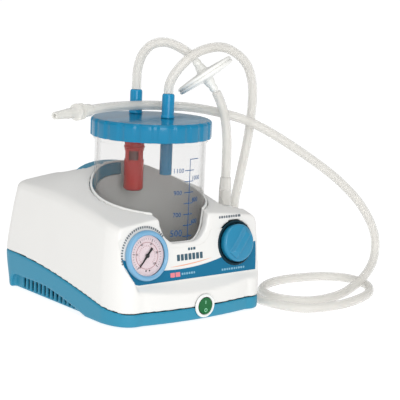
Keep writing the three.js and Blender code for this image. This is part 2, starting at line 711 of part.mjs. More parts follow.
// ---- jar ----
add("jar", turned(
  [
    [0, jarFloor], [jarRadius - 2.6, jarFloor], [jarRadius - 0.6, jarFloor + 3], [jarRadius, lidFoot - 8],
    [jarRadius, lidFoot - 4.5], [jarRadius + 1.6, lidFoot - 3.5], [jarRadius + 1.6, lidFoot - 1],
    [jarRadius, lidFoot - 0.4], [jarRadius, jarRim], [jarRadius - jarWall, jarRim],
    [jarRadius - jarWall, lidFoot - 8], [jarRadius - jarWall - 0.6, jarFloor + 5],
    [jarRadius - jarWall - 2.6, jarFloor + 3], [0, jarFloor + 3],
  ],
  wellAxis, up, round), "clearWhite", clear);

// ---- lid with its grip grooves ----
const grooves = 22;
const portFront = v3(9.9, -28.6, 0);
const portRear = v3(3.5, 17.2, 0);
const portRadius = 6.25;

function lidOutline() {
  const outline = new THREE.Shape();
  const grooveDepth = 1.2;
  for (let i = 0; i < grooves; i++) {
    [[0, 0], [0.64, 0], [0.72, 1], [0.92, 1]].forEach(([share, sunk], j) => {
      const angle = ((i + share) / grooves) * Math.PI * 2;
      const r = lidRadius - sunk * grooveDepth;
      outline[i + j ? "lineTo" : "moveTo"](jarX + r * Math.cos(angle), jarY + r * Math.sin(angle));
    });
  }
  return outline;
}
function lid() {
  const envelope = solid(turned(
    [[0, lidFoot], [lidRadius, lidFoot], [lidRadius, lidTop - 3], [lidRadius - 2.4, lidTop], [0, lidTop]],
    wellAxis, up, 44));
  const body = solid(upright(lidOutline(), lidFoot, lidTop)).intersect(envelope);
  const cavity = solid(rod(jarRadius + 1.6 + gap, jarRim + 3 - lidFoot, v3(jarX, jarY, lidFoot - 1), up, round));
  const holes = [portFront, portRear].map((at) => boreAt(at.x, at.y, 4.6, 180, 200));
  return cut(body, cavity, ...holes);
}
add("jar_lid", geometryOf(lid()), "deepBlue");
const seal = pipe(jarRadius + 0.8, jarRadius - jarWall - 1, jarRim + gap, jarRim + 1.7, wellAxis, up, round);
add("lid_seal", seal, "silicone", matt);

const portProfile = [
  [2.6, -9], [4.3, -9], [4.3, gap], [7, gap], [7, 2.6],
  [portRadius, 3], [portRadius, 23.5], [5, 24.5], [2.6, 24.5], [2.6, -9],
];
const lidPort = (at) => turned(portProfile, v3(at.x, at.y, lidTop), up, 24);
add("patient_port", lidPort(portFront), "blue");
add("vacuum_port", lidPort(portRear), "blue");

add("dip_pipe", pipe(6.2, 4.9, 134, lidTop - 5.3, portFront, up, 24), "deepBlue");

const cageRadius = 10.2;
const cageFoot = 111.5;
function floatCage() {
  const cup = solid(turned(
    [
      [0, cageFoot], [cageRadius, cageFoot], [cageRadius, lidTop - 5.3], [cageRadius - 1.5, lidTop - 5.3],
      [cageRadius - 1.5, cageFoot + 1.5], [0, cageFoot + 1.5],
    ],
    portRear, up, 24));
  const windows = [0, Math.PI / 2].map((angle) => {
    const slot = box(-20, 20, -3.2, 3.2, 158, 170).rotateZ(angle + 0.6).translate(portRear.x, portRear.y, 0);
    return solid(slot);
  });
  return cut(cup, ...windows, boreAt(portRear.x, portRear.y, 2.5, 100, 130));
}
const tinted = { metalness: 0, roughness: 0.2, transparent: true, opacity: 0.8 };
add("float_cage", geometryOf(floatCage()), "red", tinted);
const ballZ = cageFoot + 1.5 + 7.8 + gap;
add("float_ball", new THREE.SphereGeometry(7.8, 16, 10).translate(portRear.x, portRear.y, ballZ), "white", matt);

// ---- link hoses, filter and cuff ----
const filterAt = v3(52.6, -32.6, 233.2);
const filterAxis = v3(11.6, -11.8, -22.7).normalize();
const filterRadius = 31.5;
add("filter_shell_in", turned(
  [
    [1.6, -19], [3.2, -19], [4.4, -16], [3.4, -12], [4.4, -11], [5.5, -4.6],
    [filterRadius - 3, -4.2], [filterRadius, -2.4], [filterRadius, -0.6],
    [filterRadius - 4, -0.6], [filterRadius - 5, -2.4], [1.6, -2.8], [1.6, -19],
  ],
  filterAt, filterAxis, 22), "clearWhite");
add("filter_shell_out", turned(
  [
    [1.6, 2.8], [filterRadius - 5, 2.4], [filterRadius - 4, 0.6], [filterRadius, 0.6], [filterRadius, 2.4],
    [filterRadius - 3, 4.2], [5.5, 4.6], [4.4, 11], [3.4, 12], [4.4, 16], [3.2, 19], [1.6, 19], [1.6, 2.8],
  ],
  filterAt, filterAxis, 22), "clearWhite");
add("filter_membrane", rod(filterRadius - 1, 0.6, onAxis(-0.3), filterAxis, 24), "clearWhite", matt);

function onAxis(along) {
  return filterAt.clone().addScaledVector(filterAxis, along);
}
const plain = (v) => [v.x, v.y, v.z];

const linkIn = [
  [3.5, 17.2, 216], [3.5, 17.2, 224], [3.9, 16.8, 236], [7, 13.6, 251], [13.8, 6.8, 261.5],
  [22.6, -2.1, 264.6], [32.3, -11.7, 261], [40.6, -20.3, 254.2], plain(onAxis(-20.8)),
];
add("link_hose_1", hose(linkIn, hoseRadius, 20), "silicone");
const linkOut = [
  plain(onAxis(20)), [64.6, -43.2, 208.5], [68.8, -47, 192], [71.2, -49, 170],
  [71.8, -49.2, 148], [nozzleX, nozzleY, 130.4],
];
add("link_hose_2", hose(linkOut, hoseRadius, 14), "silicone");
add("hose_cuff", turned(
  [[4.4, 101.9], [6.2, 101.9], [6.2, 117], [5.4, 130], [2.6, 130], [2.6, 116], [4.4, 115.4], [4.4, 101.9]],
  v3(nozzleX, nozzleY, 0), up, 24), "grey", matt);

// ---- patient hose and its connector ----
const patientRoute = [
  [9.9, -28.6, 216], [9.9, -28.6, 222], [14.5, -30.2, 234], [34, -36.6, 255], [67, -36, 262],
  [92, -33, 255], [110, -31, 241], [118.5, -30.3, 219.6], [116.7, -30.3, 174.4], [107.4, -30.2, 127],
  [101, -30.5, 96], [99.4, -36, 66], [99.2, -50, 32], [99.6, -76, 6], [101, -103, 5], [115, -130, 5],
  [152.5, -138.5, 5], [190, -132, 5], [222, -117, 5], [246, -90, 5], [250, -60, 5], [234, -39, 5],
  [190, -27.5, 5], [154, -33, 5], [126, -54, 5], [119, -84, 5], [138, -110, 5], [175, -112, 5.4],
  [215, -99, 8], [243, -91, 17.5], [266, -80, 33], [269.5, -75, 56], [254, -70, 86], [222, -66, 116],
  [169, -58, 151], [106, -45, 184.7], [75, -28, 194.5], [56, -4, 197.6], [34, 5, 198.8], [11.1, 4.1, 200.2],
  [-13, -2, 201.4], [-42, -9, 202], [-62, -15, 201.8], [-78, -20, 201.3],
];
add("patient_hose", hose(patientRoute, hoseRadius, 66, 8), "silicone");
const connectorAxis = v3(-16, -5, -0.6).normalize();
add("patient_connector", turned(
  [
    [2, 0], [6, 0], [6.2, 9], [4.6, 10.5], [4.6, 11.5], [8, 12], [8, 14.5], [4.8, 15],
    [4.8, 18], [8.2, 18.4], [8.2, 20.6], [5.2, 21.4], [4.8, 31], [5, 32], [4.6, 34], [3.4, 52], [1.8, 52], [2, 0],
  ],
  v3(-78, -20, 201.3).addScaledVector(connectorAxis, 2 * gap), connectorAxis, 16), "clearWhite");

export default pump;
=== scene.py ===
import math

import bmesh
import bpy
from mathutils import Matrix, Vector


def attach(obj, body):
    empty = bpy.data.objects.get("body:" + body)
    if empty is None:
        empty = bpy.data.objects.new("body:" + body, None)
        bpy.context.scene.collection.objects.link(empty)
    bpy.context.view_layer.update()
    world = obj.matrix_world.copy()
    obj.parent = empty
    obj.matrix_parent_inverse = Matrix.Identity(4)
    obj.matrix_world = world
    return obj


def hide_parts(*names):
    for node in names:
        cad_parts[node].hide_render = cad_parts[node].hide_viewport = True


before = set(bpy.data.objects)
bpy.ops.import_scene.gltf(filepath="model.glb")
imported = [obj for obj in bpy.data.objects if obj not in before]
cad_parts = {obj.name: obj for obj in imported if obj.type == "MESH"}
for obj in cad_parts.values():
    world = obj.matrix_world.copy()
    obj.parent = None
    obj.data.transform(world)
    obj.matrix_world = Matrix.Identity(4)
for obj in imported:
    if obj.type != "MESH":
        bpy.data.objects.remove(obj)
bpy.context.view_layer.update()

mm = 0.001
drawingShift = 7.15  # the drawing's zero lies this far behind the frame's origin, in mm
scene = bpy.context.scene
scene.view_settings.view_transform = "Standard"


def spot(x, y, z):  # a point of the drawing in mm, as a point of the frame in metres
    return Vector((x * mm, (y - drawingShift) * mm, z * mm))


# camera
cameraSet = {
    "at": (-798.5, -1087.9, 347.8),
    "right": (0.78238, -0.62133, 0.04271),
    "up": (0.07678, 0.16428, 0.98342),
    "ahead": (0.61805, 0.76613, -0.17623),
    "lens": 120.54,
}


def makeCamera(c):
    data = bpy.data.cameras.new("viewCamera")
    camera = bpy.data.objects.new("viewCamera", data)
    scene.collection.objects.link(camera)
    data.lens = c["lens"]
    data.sensor_width = 36
    data.clip_start = 0.05
    data.clip_end = 100
    back = -Vector(c["ahead"])
    turn = Matrix((c["right"], c["up"], back)).transposed().to_4x4()
    camera.matrix_world = Matrix.Translation(spot(*c["at"])) @ turn
    scene.camera = camera


makeCamera(cameraSet)
print("camera placed")


# mesh helpers
def meshPiece(name, points, faces, finish, sharpAngle=32, merge=False):
    mesh = bpy.data.meshes.new(name)
    mesh.from_pydata([tuple(p) for p in points], [], faces)
    bm = bmesh.new()
    bm.from_mesh(mesh)
    if merge:
        bmesh.ops.remove_doubles(bm, verts=bm.verts, dist=1e-6)
    bmesh.ops.recalc_face_normals(bm, faces=bm.faces)
    bm.to_mesh(mesh)
    bm.free()
    mesh.polygons.foreach_set("use_smooth", [True] * len(mesh.polygons))
    mesh.set_sharp_from_angle(angle=math.radians(sharpAngle))
    piece = bpy.data.objects.new(name, mesh)
    scene.collection.objects.link(piece)
    if finish is not None:
        mesh.materials.append(finish)
    return piece


def softened(profile, radius, steps=4):  # the profile with its corners rounded
    closed = profile[0] == profile[-1]
    corners = [Vector(p) for p in (profile[:-1] if closed else profile)]
    count = len(corners)
    result = []
    for i, corner in enumerate(corners):
        if not closed and i in (0, count - 1):
            result.append(tuple(corner))
            continue
        before, after = corners[i - 1], corners[(i + 1) % count]
        toBefore, toAfter = before - corner, after - corner
        reach = min(radius, toBefore.length * 0.45, toAfter.length * 0.45)
        if reach < 1e-4 or toBefore.angle(toAfter) > math.radians(165):
            result.append(tuple(corner))
            continue
        first = corner + toBefore.normalized() * reach
        last = corner + toAfter.normalized() * reach
        for k in range(steps + 1):
            t = k / steps
            point = first * (1 - t) ** 2 + corner * 2 * t * (1 - t) + last * t * t
            result.append(tuple(point))
    if closed:
        result.append(result[0])
    return result


def axisTurn(axis):
    return Vector((0, 0, 1)).rotation_difference(Vector(axis)).to_matrix()


def lathePiece(name, profile, at, axis, finish, segments=96, soften=0.0, sharpAngle=32):
    if soften:
        profile = softened(profile, soften)
    closed = profile[0] == profile[-1]
    rings = profile[:-1] if closed else profile
    turn = axisTurn(axis)
    points, faces, ringStart = [], [], []
    for r, h in rings:
        ringStart.append(len(points))
        if r < 1e-6:
            points.append(at + turn @ Vector((0, 0, h * mm)))
            continue
        for k in range(segments):
            a = 2 * math.pi * k / segments
            points.append(at + turn @ Vector((r * math.cos(a) * mm, r * math.sin(a) * mm, h * mm)))
    pairs = [(i, i + 1) for i in range(len(rings) - 1)]
    if closed:
        pairs.append((len(rings) - 1, 0))
    for i, j in pairs:
        single = (rings[i][0] < 1e-6, rings[j][0] < 1e-6)
        if all(single):
            continue
        for k in range(segments):
            n = (k + 1) % segments
            a, b = ringStart[i] + k, ringStart[i] + n
            c, d = ringStart[j] + n, ringStart[j] + k
            if single[0]:
                faces.append((ringStart[i], c, d))
            elif single[1]:
                faces.append((a, b, ringStart[j]))
            else:
                faces.append((a, b, c, d))
    return meshPiece(name, points, faces, finish, sharpAngle)


def prism(name, outline, depth, toFrame, finish=None, sharpAngle=32):
    # an outline in two measures, extruded over a third, from depth[0] to depth[1]
    count = len(outline)
    points = [toFrame(a, b, d) for d in depth for a, b in outline]
    faces = [tuple(range(count)), tuple(range(2 * count - 1, count - 1, -1))]
    faces += [(i, (i + 1) % count, count + (i + 1) % count, count + i) for i in range(count)]
    return meshPiece(name, points, faces, finish, sharpAngle)


def settle(piece, name=None):  # the evaluated mesh, with the modifiers gone
    graph = bpy.context.evaluated_depsgraph_get()
    mesh = bpy.data.meshes.new_from_object(piece.evaluated_get(graph))
    old = piece.data
    piece.modifiers.clear()
    piece.data = mesh
    mesh.name = name or piece.name
    if old.users == 0:
        bpy.data.meshes.remove(old)
    return piece


def carve(piece, tools, operation="DIFFERENCE", keep=False):
    for tool in tools:
        step = piece.modifiers.new("carve", "BOOLEAN")
        step.operation = operation
        step.solver = "MANIFOLD"
        step.object = tool
    settle(piece)
    if not keep:
        for tool in tools:
            bpy.data.objects.remove(tool, do_unlink=True)
    return piece


def smoothed(piece, sharpAngle=180):
    mesh = piece.data
    mesh.polygons.foreach_set("use_smooth", [True] * len(mesh.polygons))
    mesh.set_sharp_from_angle(angle=math.radians(sharpAngle))
    return piece


def refinish(piece, finish):
    piece.data.materials.clear()
    piece.data.materials.append(finish)
    return piece


def bezier(a, b, c, steps):  # a quadratic curve's points, without its start
    return [
        tuple((1 - t) ** 2 * p + 2 * t * (1 - t) * q + t * t * r for p, q, r in zip(a, b, c))
        for t in (k / steps for k in range(1, steps + 1))
    ]


# finishes
def newFinish(name):
    finish = bpy.data.materials.new(name)
    finish.use_nodes = True
    tree = finish.node_tree
    shader = tree.nodes["Principled BSDF"]
    return finish, tree, shader


def wire(tree, source, target):
    tree.links.new(source, target)


def shaded(colour, factor):
    return (*[min(1.0, c * factor) for c in colour], 1.0)


def linear(red, green, blue):  # a colour as it is seen, 0 to 255, made linear
    shares = [c / 255 for c in (red, green, blue)]
    return tuple(c / 12.92 if c < 0.0404 else ((c + 0.055) / 1.055) ** 2.4 for c in shares)


mottleSet = {"tone": 0.03, "size": 18, "polish": 0.2, "grainDepth": 0.0002, "coatRough": 0.08}


def moulded(name, colour, rough=0.35, grain=0.06, grainSize=900, coat=0.0, shine=0.5):
    # moulded plastic: a fine spark-eroded grain, slow drift in tone, uneven polish
    m = mottleSet
    finish, tree, shader = newFinish(name)
    place = tree.nodes.new("ShaderNodeTexCoord")
    drift = tree.nodes.new("ShaderNodeTexNoise")
    drift.inputs["Scale"].default_value = m["size"]
    drift.inputs["Detail"].default_value = 4
    wire(tree, place.outputs["Object"], drift.inputs["Vector"])
    tone = tree.nodes.new("ShaderNodeMix")
    tone.data_type = "RGBA"
    tone.inputs["A"].default_value = shaded(colour, 1 - m["tone"])
    tone.inputs["B"].default_value = shaded(colour, 1 + m["tone"])
    wire(tree, drift.outputs["Fac"], tone.inputs["Factor"])
    wire(tree, tone.outputs["Result"], shader.inputs["Base Color"])
    polish = tree.nodes.new("ShaderNodeMapRange")
    polish.inputs["To Min"].default_value = max(0.02, rough * (1 - m["polish"]))
    polish.inputs["To Max"].default_value = min(1, rough * (1 + m["polish"]))
    wire(tree, drift.outputs["Fac"], polish.inputs["Value"])
    wire(tree, polish.outputs["Result"], shader.inputs["Roughness"])
    fine = tree.nodes.new("ShaderNodeTexNoise")
    fine.inputs["Scale"].default_value = grainSize
    fine.inputs["Detail"].default_value = 2
    wire(tree, place.outputs["Object"], fine.inputs["Vector"])
    bump = tree.nodes.new("ShaderNodeBump")
    bump.inputs["Strength"].default_value = grain
    bump.inputs["Distance"].default_value = m["grainDepth"]
    wire(tree, fine.outputs["Fac"], bump.inputs["Height"])
    wire(tree, bump.outputs["Normal"], shader.inputs["Normal"])
    shader.inputs["Specular IOR Level"].default_value = shine
    if coat:
        shader.inputs["Coat Weight"].default_value = coat
        shader.inputs["Coat Roughness"].default_value = m["coatRough"]
    return finish


def turnedMetal(name, colour, rough=0.3, stretch=(4, 4, 160)):  # fine streaks along the turning
    finish, tree, shader = newFinish(name)
    place = tree.nodes.new("ShaderNodeTexCoord")
    mapping = tree.nodes.new("ShaderNodeMapping")
    mapping.inputs["Scale"].default_value = stretch
    streaks = tree.nodes.new("ShaderNodeTexNoise")
    streaks.inputs["Scale"].default_value = 40
    streaks.inputs["Detail"].default_value = 5
    wire(tree, place.outputs["Object"], mapping.inputs["Vector"])
    wire(tree, mapping.outputs["Vector"], streaks.inputs["Vector"])
    ramp = tree.nodes.new("ShaderNodeMapRange")
    ramp.inputs["To Min"].default_value = rough * 0.7
    ramp.inputs["To Max"].default_value = rough * 1.4
    wire(tree, streaks.outputs["Fac"], ramp.inputs["Value"])
    wire(tree, ramp.outputs["Result"], shader.inputs["Roughness"])
    tone = tree.nodes.new("ShaderNodeMix")
    tone.data_type = "RGBA"
    tone.inputs["A"].default_value = shaded(colour, 0.88)
    tone.inputs["B"].default_value = shaded(colour, 1.08)
    wire(tree, streaks.outputs["Fac"], tone.inputs["Factor"])
    wire(tree, tone.outputs["Result"], shader.inputs["Base Color"])
    shader.inputs["Metallic"].default_value = 1
    return finish


def clearPlastic(
    name, colour, transmission=1.0, rough=0.04, ior=1.35, cloud=0.02, solid=1.0, coat=0.0, rim=None,
):
    # solid is the wall's opacity seen square on, and rim its opacity seen edge on
    finish, tree, shader = newFinish(name)
    place = tree.nodes.new("ShaderNodeTexCoord")
    haze = tree.nodes.new("ShaderNodeTexNoise")
    haze.inputs["Scale"].default_value = 30
    haze.inputs["Detail"].default_value = 3
    wire(tree, place.outputs["Object"], haze.inputs["Vector"])
    tone = tree.nodes.new("ShaderNodeMix")
    tone.data_type = "RGBA"
    tone.inputs["A"].default_value = shaded(colour, 1 - cloud)
    tone.inputs["B"].default_value = shaded(colour, 1)
    wire(tree, haze.outputs["Fac"], tone.inputs["Factor"])
    wire(tree, tone.outputs["Result"], shader.inputs["Base Color"])
    polish = tree.nodes.new("ShaderNodeMapRange")
    polish.inputs["To Min"].default_value = rough * 0.6
    polish.inputs["To Max"].default_value = rough * 1.5
    wire(tree, haze.outputs["Fac"], polish.inputs["Value"])
    wire(tree, polish.outputs["Result"], shader.inputs["Roughness"])
    shader.inputs["Transmission Weight"].default_value = transmission
    shader.inputs["IOR"].default_value = ior
    shader.inputs["Alpha"].default_value = solid
    if rim is not None:
        edge = tree.nodes.new("ShaderNodeLayerWeight")
        edge.inputs["Blend"].default_value = 0.5
        dense = tree.nodes.new("ShaderNodeMapRange")
        dense.inputs["From Min"].default_value = 0.55
        dense.inputs["To Min"].default_value = solid
        dense.inputs["To Max"].default_value = rim
        wire(tree, edge.outputs["Facing"], dense.inputs["Value"])
        wire(tree, dense.outputs["Result"], shader.inputs["Alpha"])
    shader.inputs["Coat Weight"].default_value = coat
    shader.inputs["Coat Roughness"].default_value = rough
    return finish


finishes = {
    "white": moulded("whiteShell", linear(229, 228, 225), 0.34, 0.05, coat=0.15),
    "blue": moulded("blueBase", linear(44, 137, 168), 0.38, 0.06, shine=0.35),
    "well": moulded("wellGrey", linear(244, 244, 241), 0.45, 0.05),
    "film": moulded("filmWhite", linear(231, 233, 231), 0.3, 0.02),
    "band": moulded("bandTeal", linear(9, 106, 143), 0.3, 0.02, shine=0.25),
    "arc": moulded("arcOrange", linear(232, 160, 128), 0.3, 0.02),
    "print": moulded("printDark", linear(52, 84, 100), 0.35, 0.02),
    "note": moulded("noteGrey", linear(96, 104, 112), 0.4, 0.02),
    "tag": moulded("tagRed", linear(226, 128, 138), 0.35, 0.02),
    "printPale": moulded("printPale", linear(120, 172, 196), 0.35, 0.02),
    "bezel": moulded("bezelBlue", linear(112, 165, 200), 0.22, 0.02, coat=0.4),
    "dial": moulded("dialCard", linear(226, 208, 212), 0.6, 0.03),
    "dialRed": moulded("dialRed", linear(150, 60, 62), 0.5, 0.02),
    "black": moulded("blackPlastic", linear(26, 27, 30), 0.5, 0.12),
    "needle": moulded("needleBlack", linear(14, 14, 16), 0.4, 0.03),
    # the knob pocket's dark navy is painted shade: it darkens the recess round the knob
    "pocket": moulded("pocketDark", linear(12, 46, 58), 0.5, 0.06, shine=0.2),
    "knob": moulded("knobBlue", linear(32, 130, 168), 0.24, 0.04, coat=0.25, shine=0.35),
    "green": moulded("rockerGreen", linear(3, 98, 48), 0.22, 0.01, coat=0.1, shine=0.3),
    "mark": moulded("markWhite", linear(150, 220, 180), 0.4, 0.02),
    "steel": turnedMetal("zincSteel", (0.55, 0.56, 0.58)),
    "brass": turnedMetal("turnedBrass", (0.7, 0.52, 0.25), 0.28),
    "cast": turnedMetal("castAluminium", (0.6, 0.6, 0.62), 0.5, (30, 30, 30)),
    "rubber": moulded("footRubber", linear(34, 34, 35), 0.8, 0.3, 500),
    "jar": clearPlastic("jarClear", (0.34, 0.325, 0.3), 0.0, 0.05, 1.45, solid=0.07, coat=0.35, rim=0.4),
    "lens": clearPlastic("lensClear", (0.6, 0.62, 0.64), 1.0, 0.02, 1.03, solid=0.12, coat=1.0),
    "ink": moulded("jarInk", linear(0, 78, 132), 0.5, 0.02, shine=0.1),
    "lid": moulded("lidTeal", linear(0, 120, 160), 0.2, 0.02, coat=0.3, shine=0.2),
    "port": moulded("portBlue", linear(6, 136, 182), 0.22, 0.02, coat=0.2, shine=0.3),
    "pipe": moulded("pipeBlue", linear(0, 108, 146), 0.22, 0.02, coat=0.2, shine=0.3),
    "cage": clearPlastic("cageRed", linear(224, 12, 8), 0.25, 0.12, 1.25, 0.15, solid=0.92, coat=0.4),
    "stem": moulded("stemMaroon", linear(92, 16, 14), 0.3, 0.03),
    "float": moulded("floatWhite", linear(228, 228, 224), 0.5, 0.05),
    "hose": clearPlastic("hoseMilky", linear(240, 238, 233), 0.3, 0.22, 1.2, 0.04, solid=0.6, coat=0.3),
    "cuff": clearPlastic("cuffMilky", linear(236, 234, 229), 0.3, 0.25, 1.2, 0.05, solid=0.8, coat=0.2),
    "filter": moulded("filterWhite", linear(236, 236, 232), 0.3, 0.03, coat=0.3),
    "felt": moulded("membraneFelt", linear(236, 236, 232), 0.9, 0.6, 1400),
    "fitting": clearPlastic(
        "fittingMilky", linear(238, 237, 232), 0.25, 0.2, 1.2, 0.05, solid=0.8, coat=0.3,
    ),
    "seal": moulded("sealGrey", linear(196, 198, 198), 0.6, 0.05),
}
print("finishes made", len(finishes))

# cords: the same routes as the frame's tubes
hoseSet = {"radius": 4.75, "bore": 3.2, "sides": 22, "step": 2.6}
filterAt = Vector((52.6, -32.6, 233.2))
filterAxis = Vector((11.6, -11.8, -22.7)).normalized()
filterEnds = (-20.8, 20)  # where the hoses meet the filter's axis, each side of its middle
nozzleAt = Vector((72, -49, 0))


def onFilter(along):
    return tuple(filterAt + filterAxis * along)


routes = {
    "link_hose_1": [
        (3.5, 17.2, 216), (3.5, 17.2, 224), (3.9, 16.8, 236), (7, 13.6, 251), (13.8, 6.8, 261.5),
        (22.6, -2.1, 264.6), (32.3, -11.7, 261), (40.6, -20.3, 254.2), onFilter(filterEnds[0]),
    ],
    "link_hose_2": [
        onFilter(filterEnds[1]), (64.6, -43.2, 208.5), (68.8, -47, 192), (71.2, -49, 170),
        (71.8, -49.2, 148), (72, -49, 130.4),
    ],
    "patient_hose": [
        (9.9, -28.6, 216), (9.9, -28.6, 222), (14.5, -30.2, 234), (34, -36.6, 255), (67, -36, 262),
        (92, -33, 255), (110, -31, 241), (118.5, -30.3, 219.6), (116.7, -30.3, 174.4),
        (107.4, -30.2, 127), (101, -30.5, 96), (99.4, -36, 66), (99.2, -50, 32), (99.6, -76, 6),
        (101, -103, 5), (115, -130, 5), (152.5, -138.5, 5), (190, -132, 5), (222, -117, 5),
        (246, -90, 5), (250, -60, 5), (234, -39, 5), (190, -27.5, 5), (154, -33, 5), (126, -54, 5),
        (119, -84, 5), (138, -110, 5), (175, -112, 5.4), (215, -99, 8), (243, -91, 17.5),
        (266, -80, 33), (269.5, -75, 56), (254, -70, 86), (222, -66, 116), (169, -58, 151),
        (106, -45, 184.7), (75, -28, 194.5), (56, -4, 197.6), (34, 5, 198.8), (11.1, 4.1, 200.2),
        (-13, -2, 201.4), (-42, -9, 202), (-62, -15, 201.8), (-78, -20, 201.3),
    ],
}


def splinePoints(controls, step):  # a centripetal curve through the points, evenly spaced
    knots = [Vector(p) for p in controls]
    padded = [2 * knots[0] - knots[1], *knots, 2 * knots[-1] - knots[-2]]
    dense = []
    for i in range(1, len(padded) - 2):
        p0, p1, p2, p3 = padded[i - 1 : i + 3]
        d0, d1, d2 = (max(1e-6, (b - a).length ** 0.5) for a, b in ((p0, p1), (p1, p2), (p2, p3)))
        t1 = ((p1 - p0) / d0 - (p2 - p0) / (d0 + d1) + (p2 - p1) / d1) * d1
        t2 = ((p2 - p1) / d1 - (p3 - p1) / (d1 + d2) + (p3 - p2) / d2) * d1
        for k in range(40):
            t = k / 40
            a = 2 * t**3 - 3 * t**2 + 1
            b = t**3 - 2 * t**2 + t
            dense.append(p1 * a + t1 * b + p2 * (3 * t**2 - 2 * t**3) + t2 * (t**3 - t**2))
    dense.append(knots[-1])
    lengths = [0.0]
    for a, b in zip(dense, dense[1:]):
        lengths.append(lengths[-1] + (b - a).length)
    count = max(8, round(lengths[-1] / step))
    result, j = [], 0
    for k in range(count + 1):
        want = lengths[-1] * k / count
        while j < len(lengths) - 2 and lengths[j + 1] < want:
            j += 1
        span = max(1e-9, lengths[j + 1] - lengths[j])
        result.append(dense[j].lerp(dense[j + 1], min(1, (want - lengths[j]) / span)))
    return result, lengths[-1]


def tubePiece(name, path, outer, bore, finish, sides):
    # a hollow tube on a path in mm, with rings carried along without twist
    last = len(path) - 1
    ahead = [(path[min(i + 1, last)] - path[max(i - 1, 0)]).normalized() for i in range(last + 1)]
    normal = ahead[0].orthogonal().normalized()
    rings = []
    for i, point in enumerate(path):
        if i:
            normal = ahead[i - 1].rotation_difference(ahead[i]) @ normal
            normal = (normal - ahead[i] * normal.dot(ahead[i])).normalized()
        rings.append((point, normal.copy(), ahead[i].cross(normal)))
    points, circles = [], []
    for radius, order in ((outer, rings), (bore, rings[::-1])):
        for point, n, b in order:
            circles.append(len(points))
            for k in range(sides):
                a = 2 * math.pi * k / sides
                p = point + (n * math.cos(a) + b * math.sin(a)) * radius
                points.append(spot(*p))
    faces = []
    for a, b in zip(circles, [*circles[1:], circles[0]]):
        for k in range(sides):
            n = (k + 1) % sides
            faces.append((a + k, a + n, b + n, b + k))
    return meshPiece(name, points, faces, finish, 60)


hoses, hosePaths, hoseLengths = {}, {}, {}
for node, controls in routes.items():
    path, length = splinePoints(controls, hoseSet["step"])
    h = hoseSet
    piece = tubePiece(node + "_tube", path, h["radius"], h["bore"], finishes["hose"], h["sides"])
    hoses[node] = piece
    hosePaths[node] = [tuple(spot(*p)) for p in path]
    hoseLengths[node] = length * mm
    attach(piece, "lid_set")
    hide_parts(node)
print("cords made", {node: round(length, 4) for node, length in hoseLengths.items()})


# filter on the link hoses
filterSet = {"radius": 31.5, "segments": 96, "ease": 0.7}


def filterShell(name, node, side):
    f = filterSet
    r = f["radius"]
    half = [
        (1.6, 2.6), (r - 5, 2.2), (r - 4, 0.3), (r, 0.3), (r, 2.3), (r - 1.2, 3.4), (r - 4, 3.9),
        (r - 6, 3.9), (16, 4.8), (8, 5.2), (5.7, 6), (4.9, 11), (4, 12), (4.4, 16), (3.2, 19),
        (1.6, 19), (1.6, 2.6),
    ]
    profile = [(radius, height * side) for radius, height in half]
    piece = lathePiece(
        name, profile, spot(*filterAt), filterAxis, finishes["filter"], f["segments"], f["ease"],
    )
    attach(piece, "lid_set")
    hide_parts(node)
    return piece


filterIn = filterShell("filter_shell_upper", "filter_shell_in", -1)
filterOut = filterShell("filter_shell_lower", "filter_shell_out", 1)


# patient connector and cuff
connectorAt = Vector(routes["patient_hose"][-1])
connectorAxis = Vector((-16, -5, -0.6)).normalized()
connectorGap = 0.6
connectorProfile = [
    (2, 0), (6, 0), (6.2, 9), (4.6, 10.5), (4.6, 11.5), (8, 12), (8, 14.5), (4.8, 15), (4.8, 18),
    (8.2, 18.4), (8.2, 20.6), (5.2, 21.4), (4.8, 31), (5, 32), (4.6, 34), (3.4, 52), (1.8, 52), (2, 0),
]
connector = lathePiece(
    "suction_connector", connectorProfile, spot(*(connectorAt + connectorAxis * connectorGap)),
    connectorAxis, finishes["fitting"], 64, 0.5,
)
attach(connector, "lid_set")
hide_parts("patient_connector")

cuffProfile = [
    (4.4, 101.9), (6.2, 101.9), (6.2, 117), (5.4, 130), (2.6, 130), (2.6, 116), (4.4, 115.4), (4.4, 101.9),
]
cuff = lathePiece("silicone_cuff", cuffProfile, spot(*nozzleAt), (0, 0, 1), finishes["cuff"], 48, 0.5)
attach(cuff, "lid_set")
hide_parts("hose_cuff")

membrane = refinish(bpy.data.objects["filter_membrane"], finishes["felt"])

# housing: blank, cutters and parting, as the frame has them
caseSet = {
    "wall": 3.0,
    "halfWidth": 90.5,
    "back": 105.0,
    "front": -96.0,
    "bow": -102.0,
    "foot": 1.5,
    "levels": 148.5,
    "bulge": (7, 14.5, 9, -1, -13),
    "reach": 14,  # how far the rear corners' rounding reaches along each wall
    "edge": 7.0,
    "rows": 60,
    "curve": 30,
}
jarAt = Vector((-4, -20.5, 0))
wellRadius = 57.5
wellOuter = wellRadius + 2.1  # the well's wall and a gap round it
panelTilt = math.atan2(8, 56)
panelOut = Vector((0, -math.cos(panelTilt), math.sin(panelTilt)))
panelUp = Vector((0, math.sin(panelTilt), math.cos(panelTilt)))
gaugeAt = Vector((-54.7, -90 + 26.6 * math.tan(panelTilt), 68.6))
knobAt = Vector((57.6, -90 + 28.2 * math.tan(panelTilt), 70.2))
switchAt = Vector((8, -101.95, 15.2))


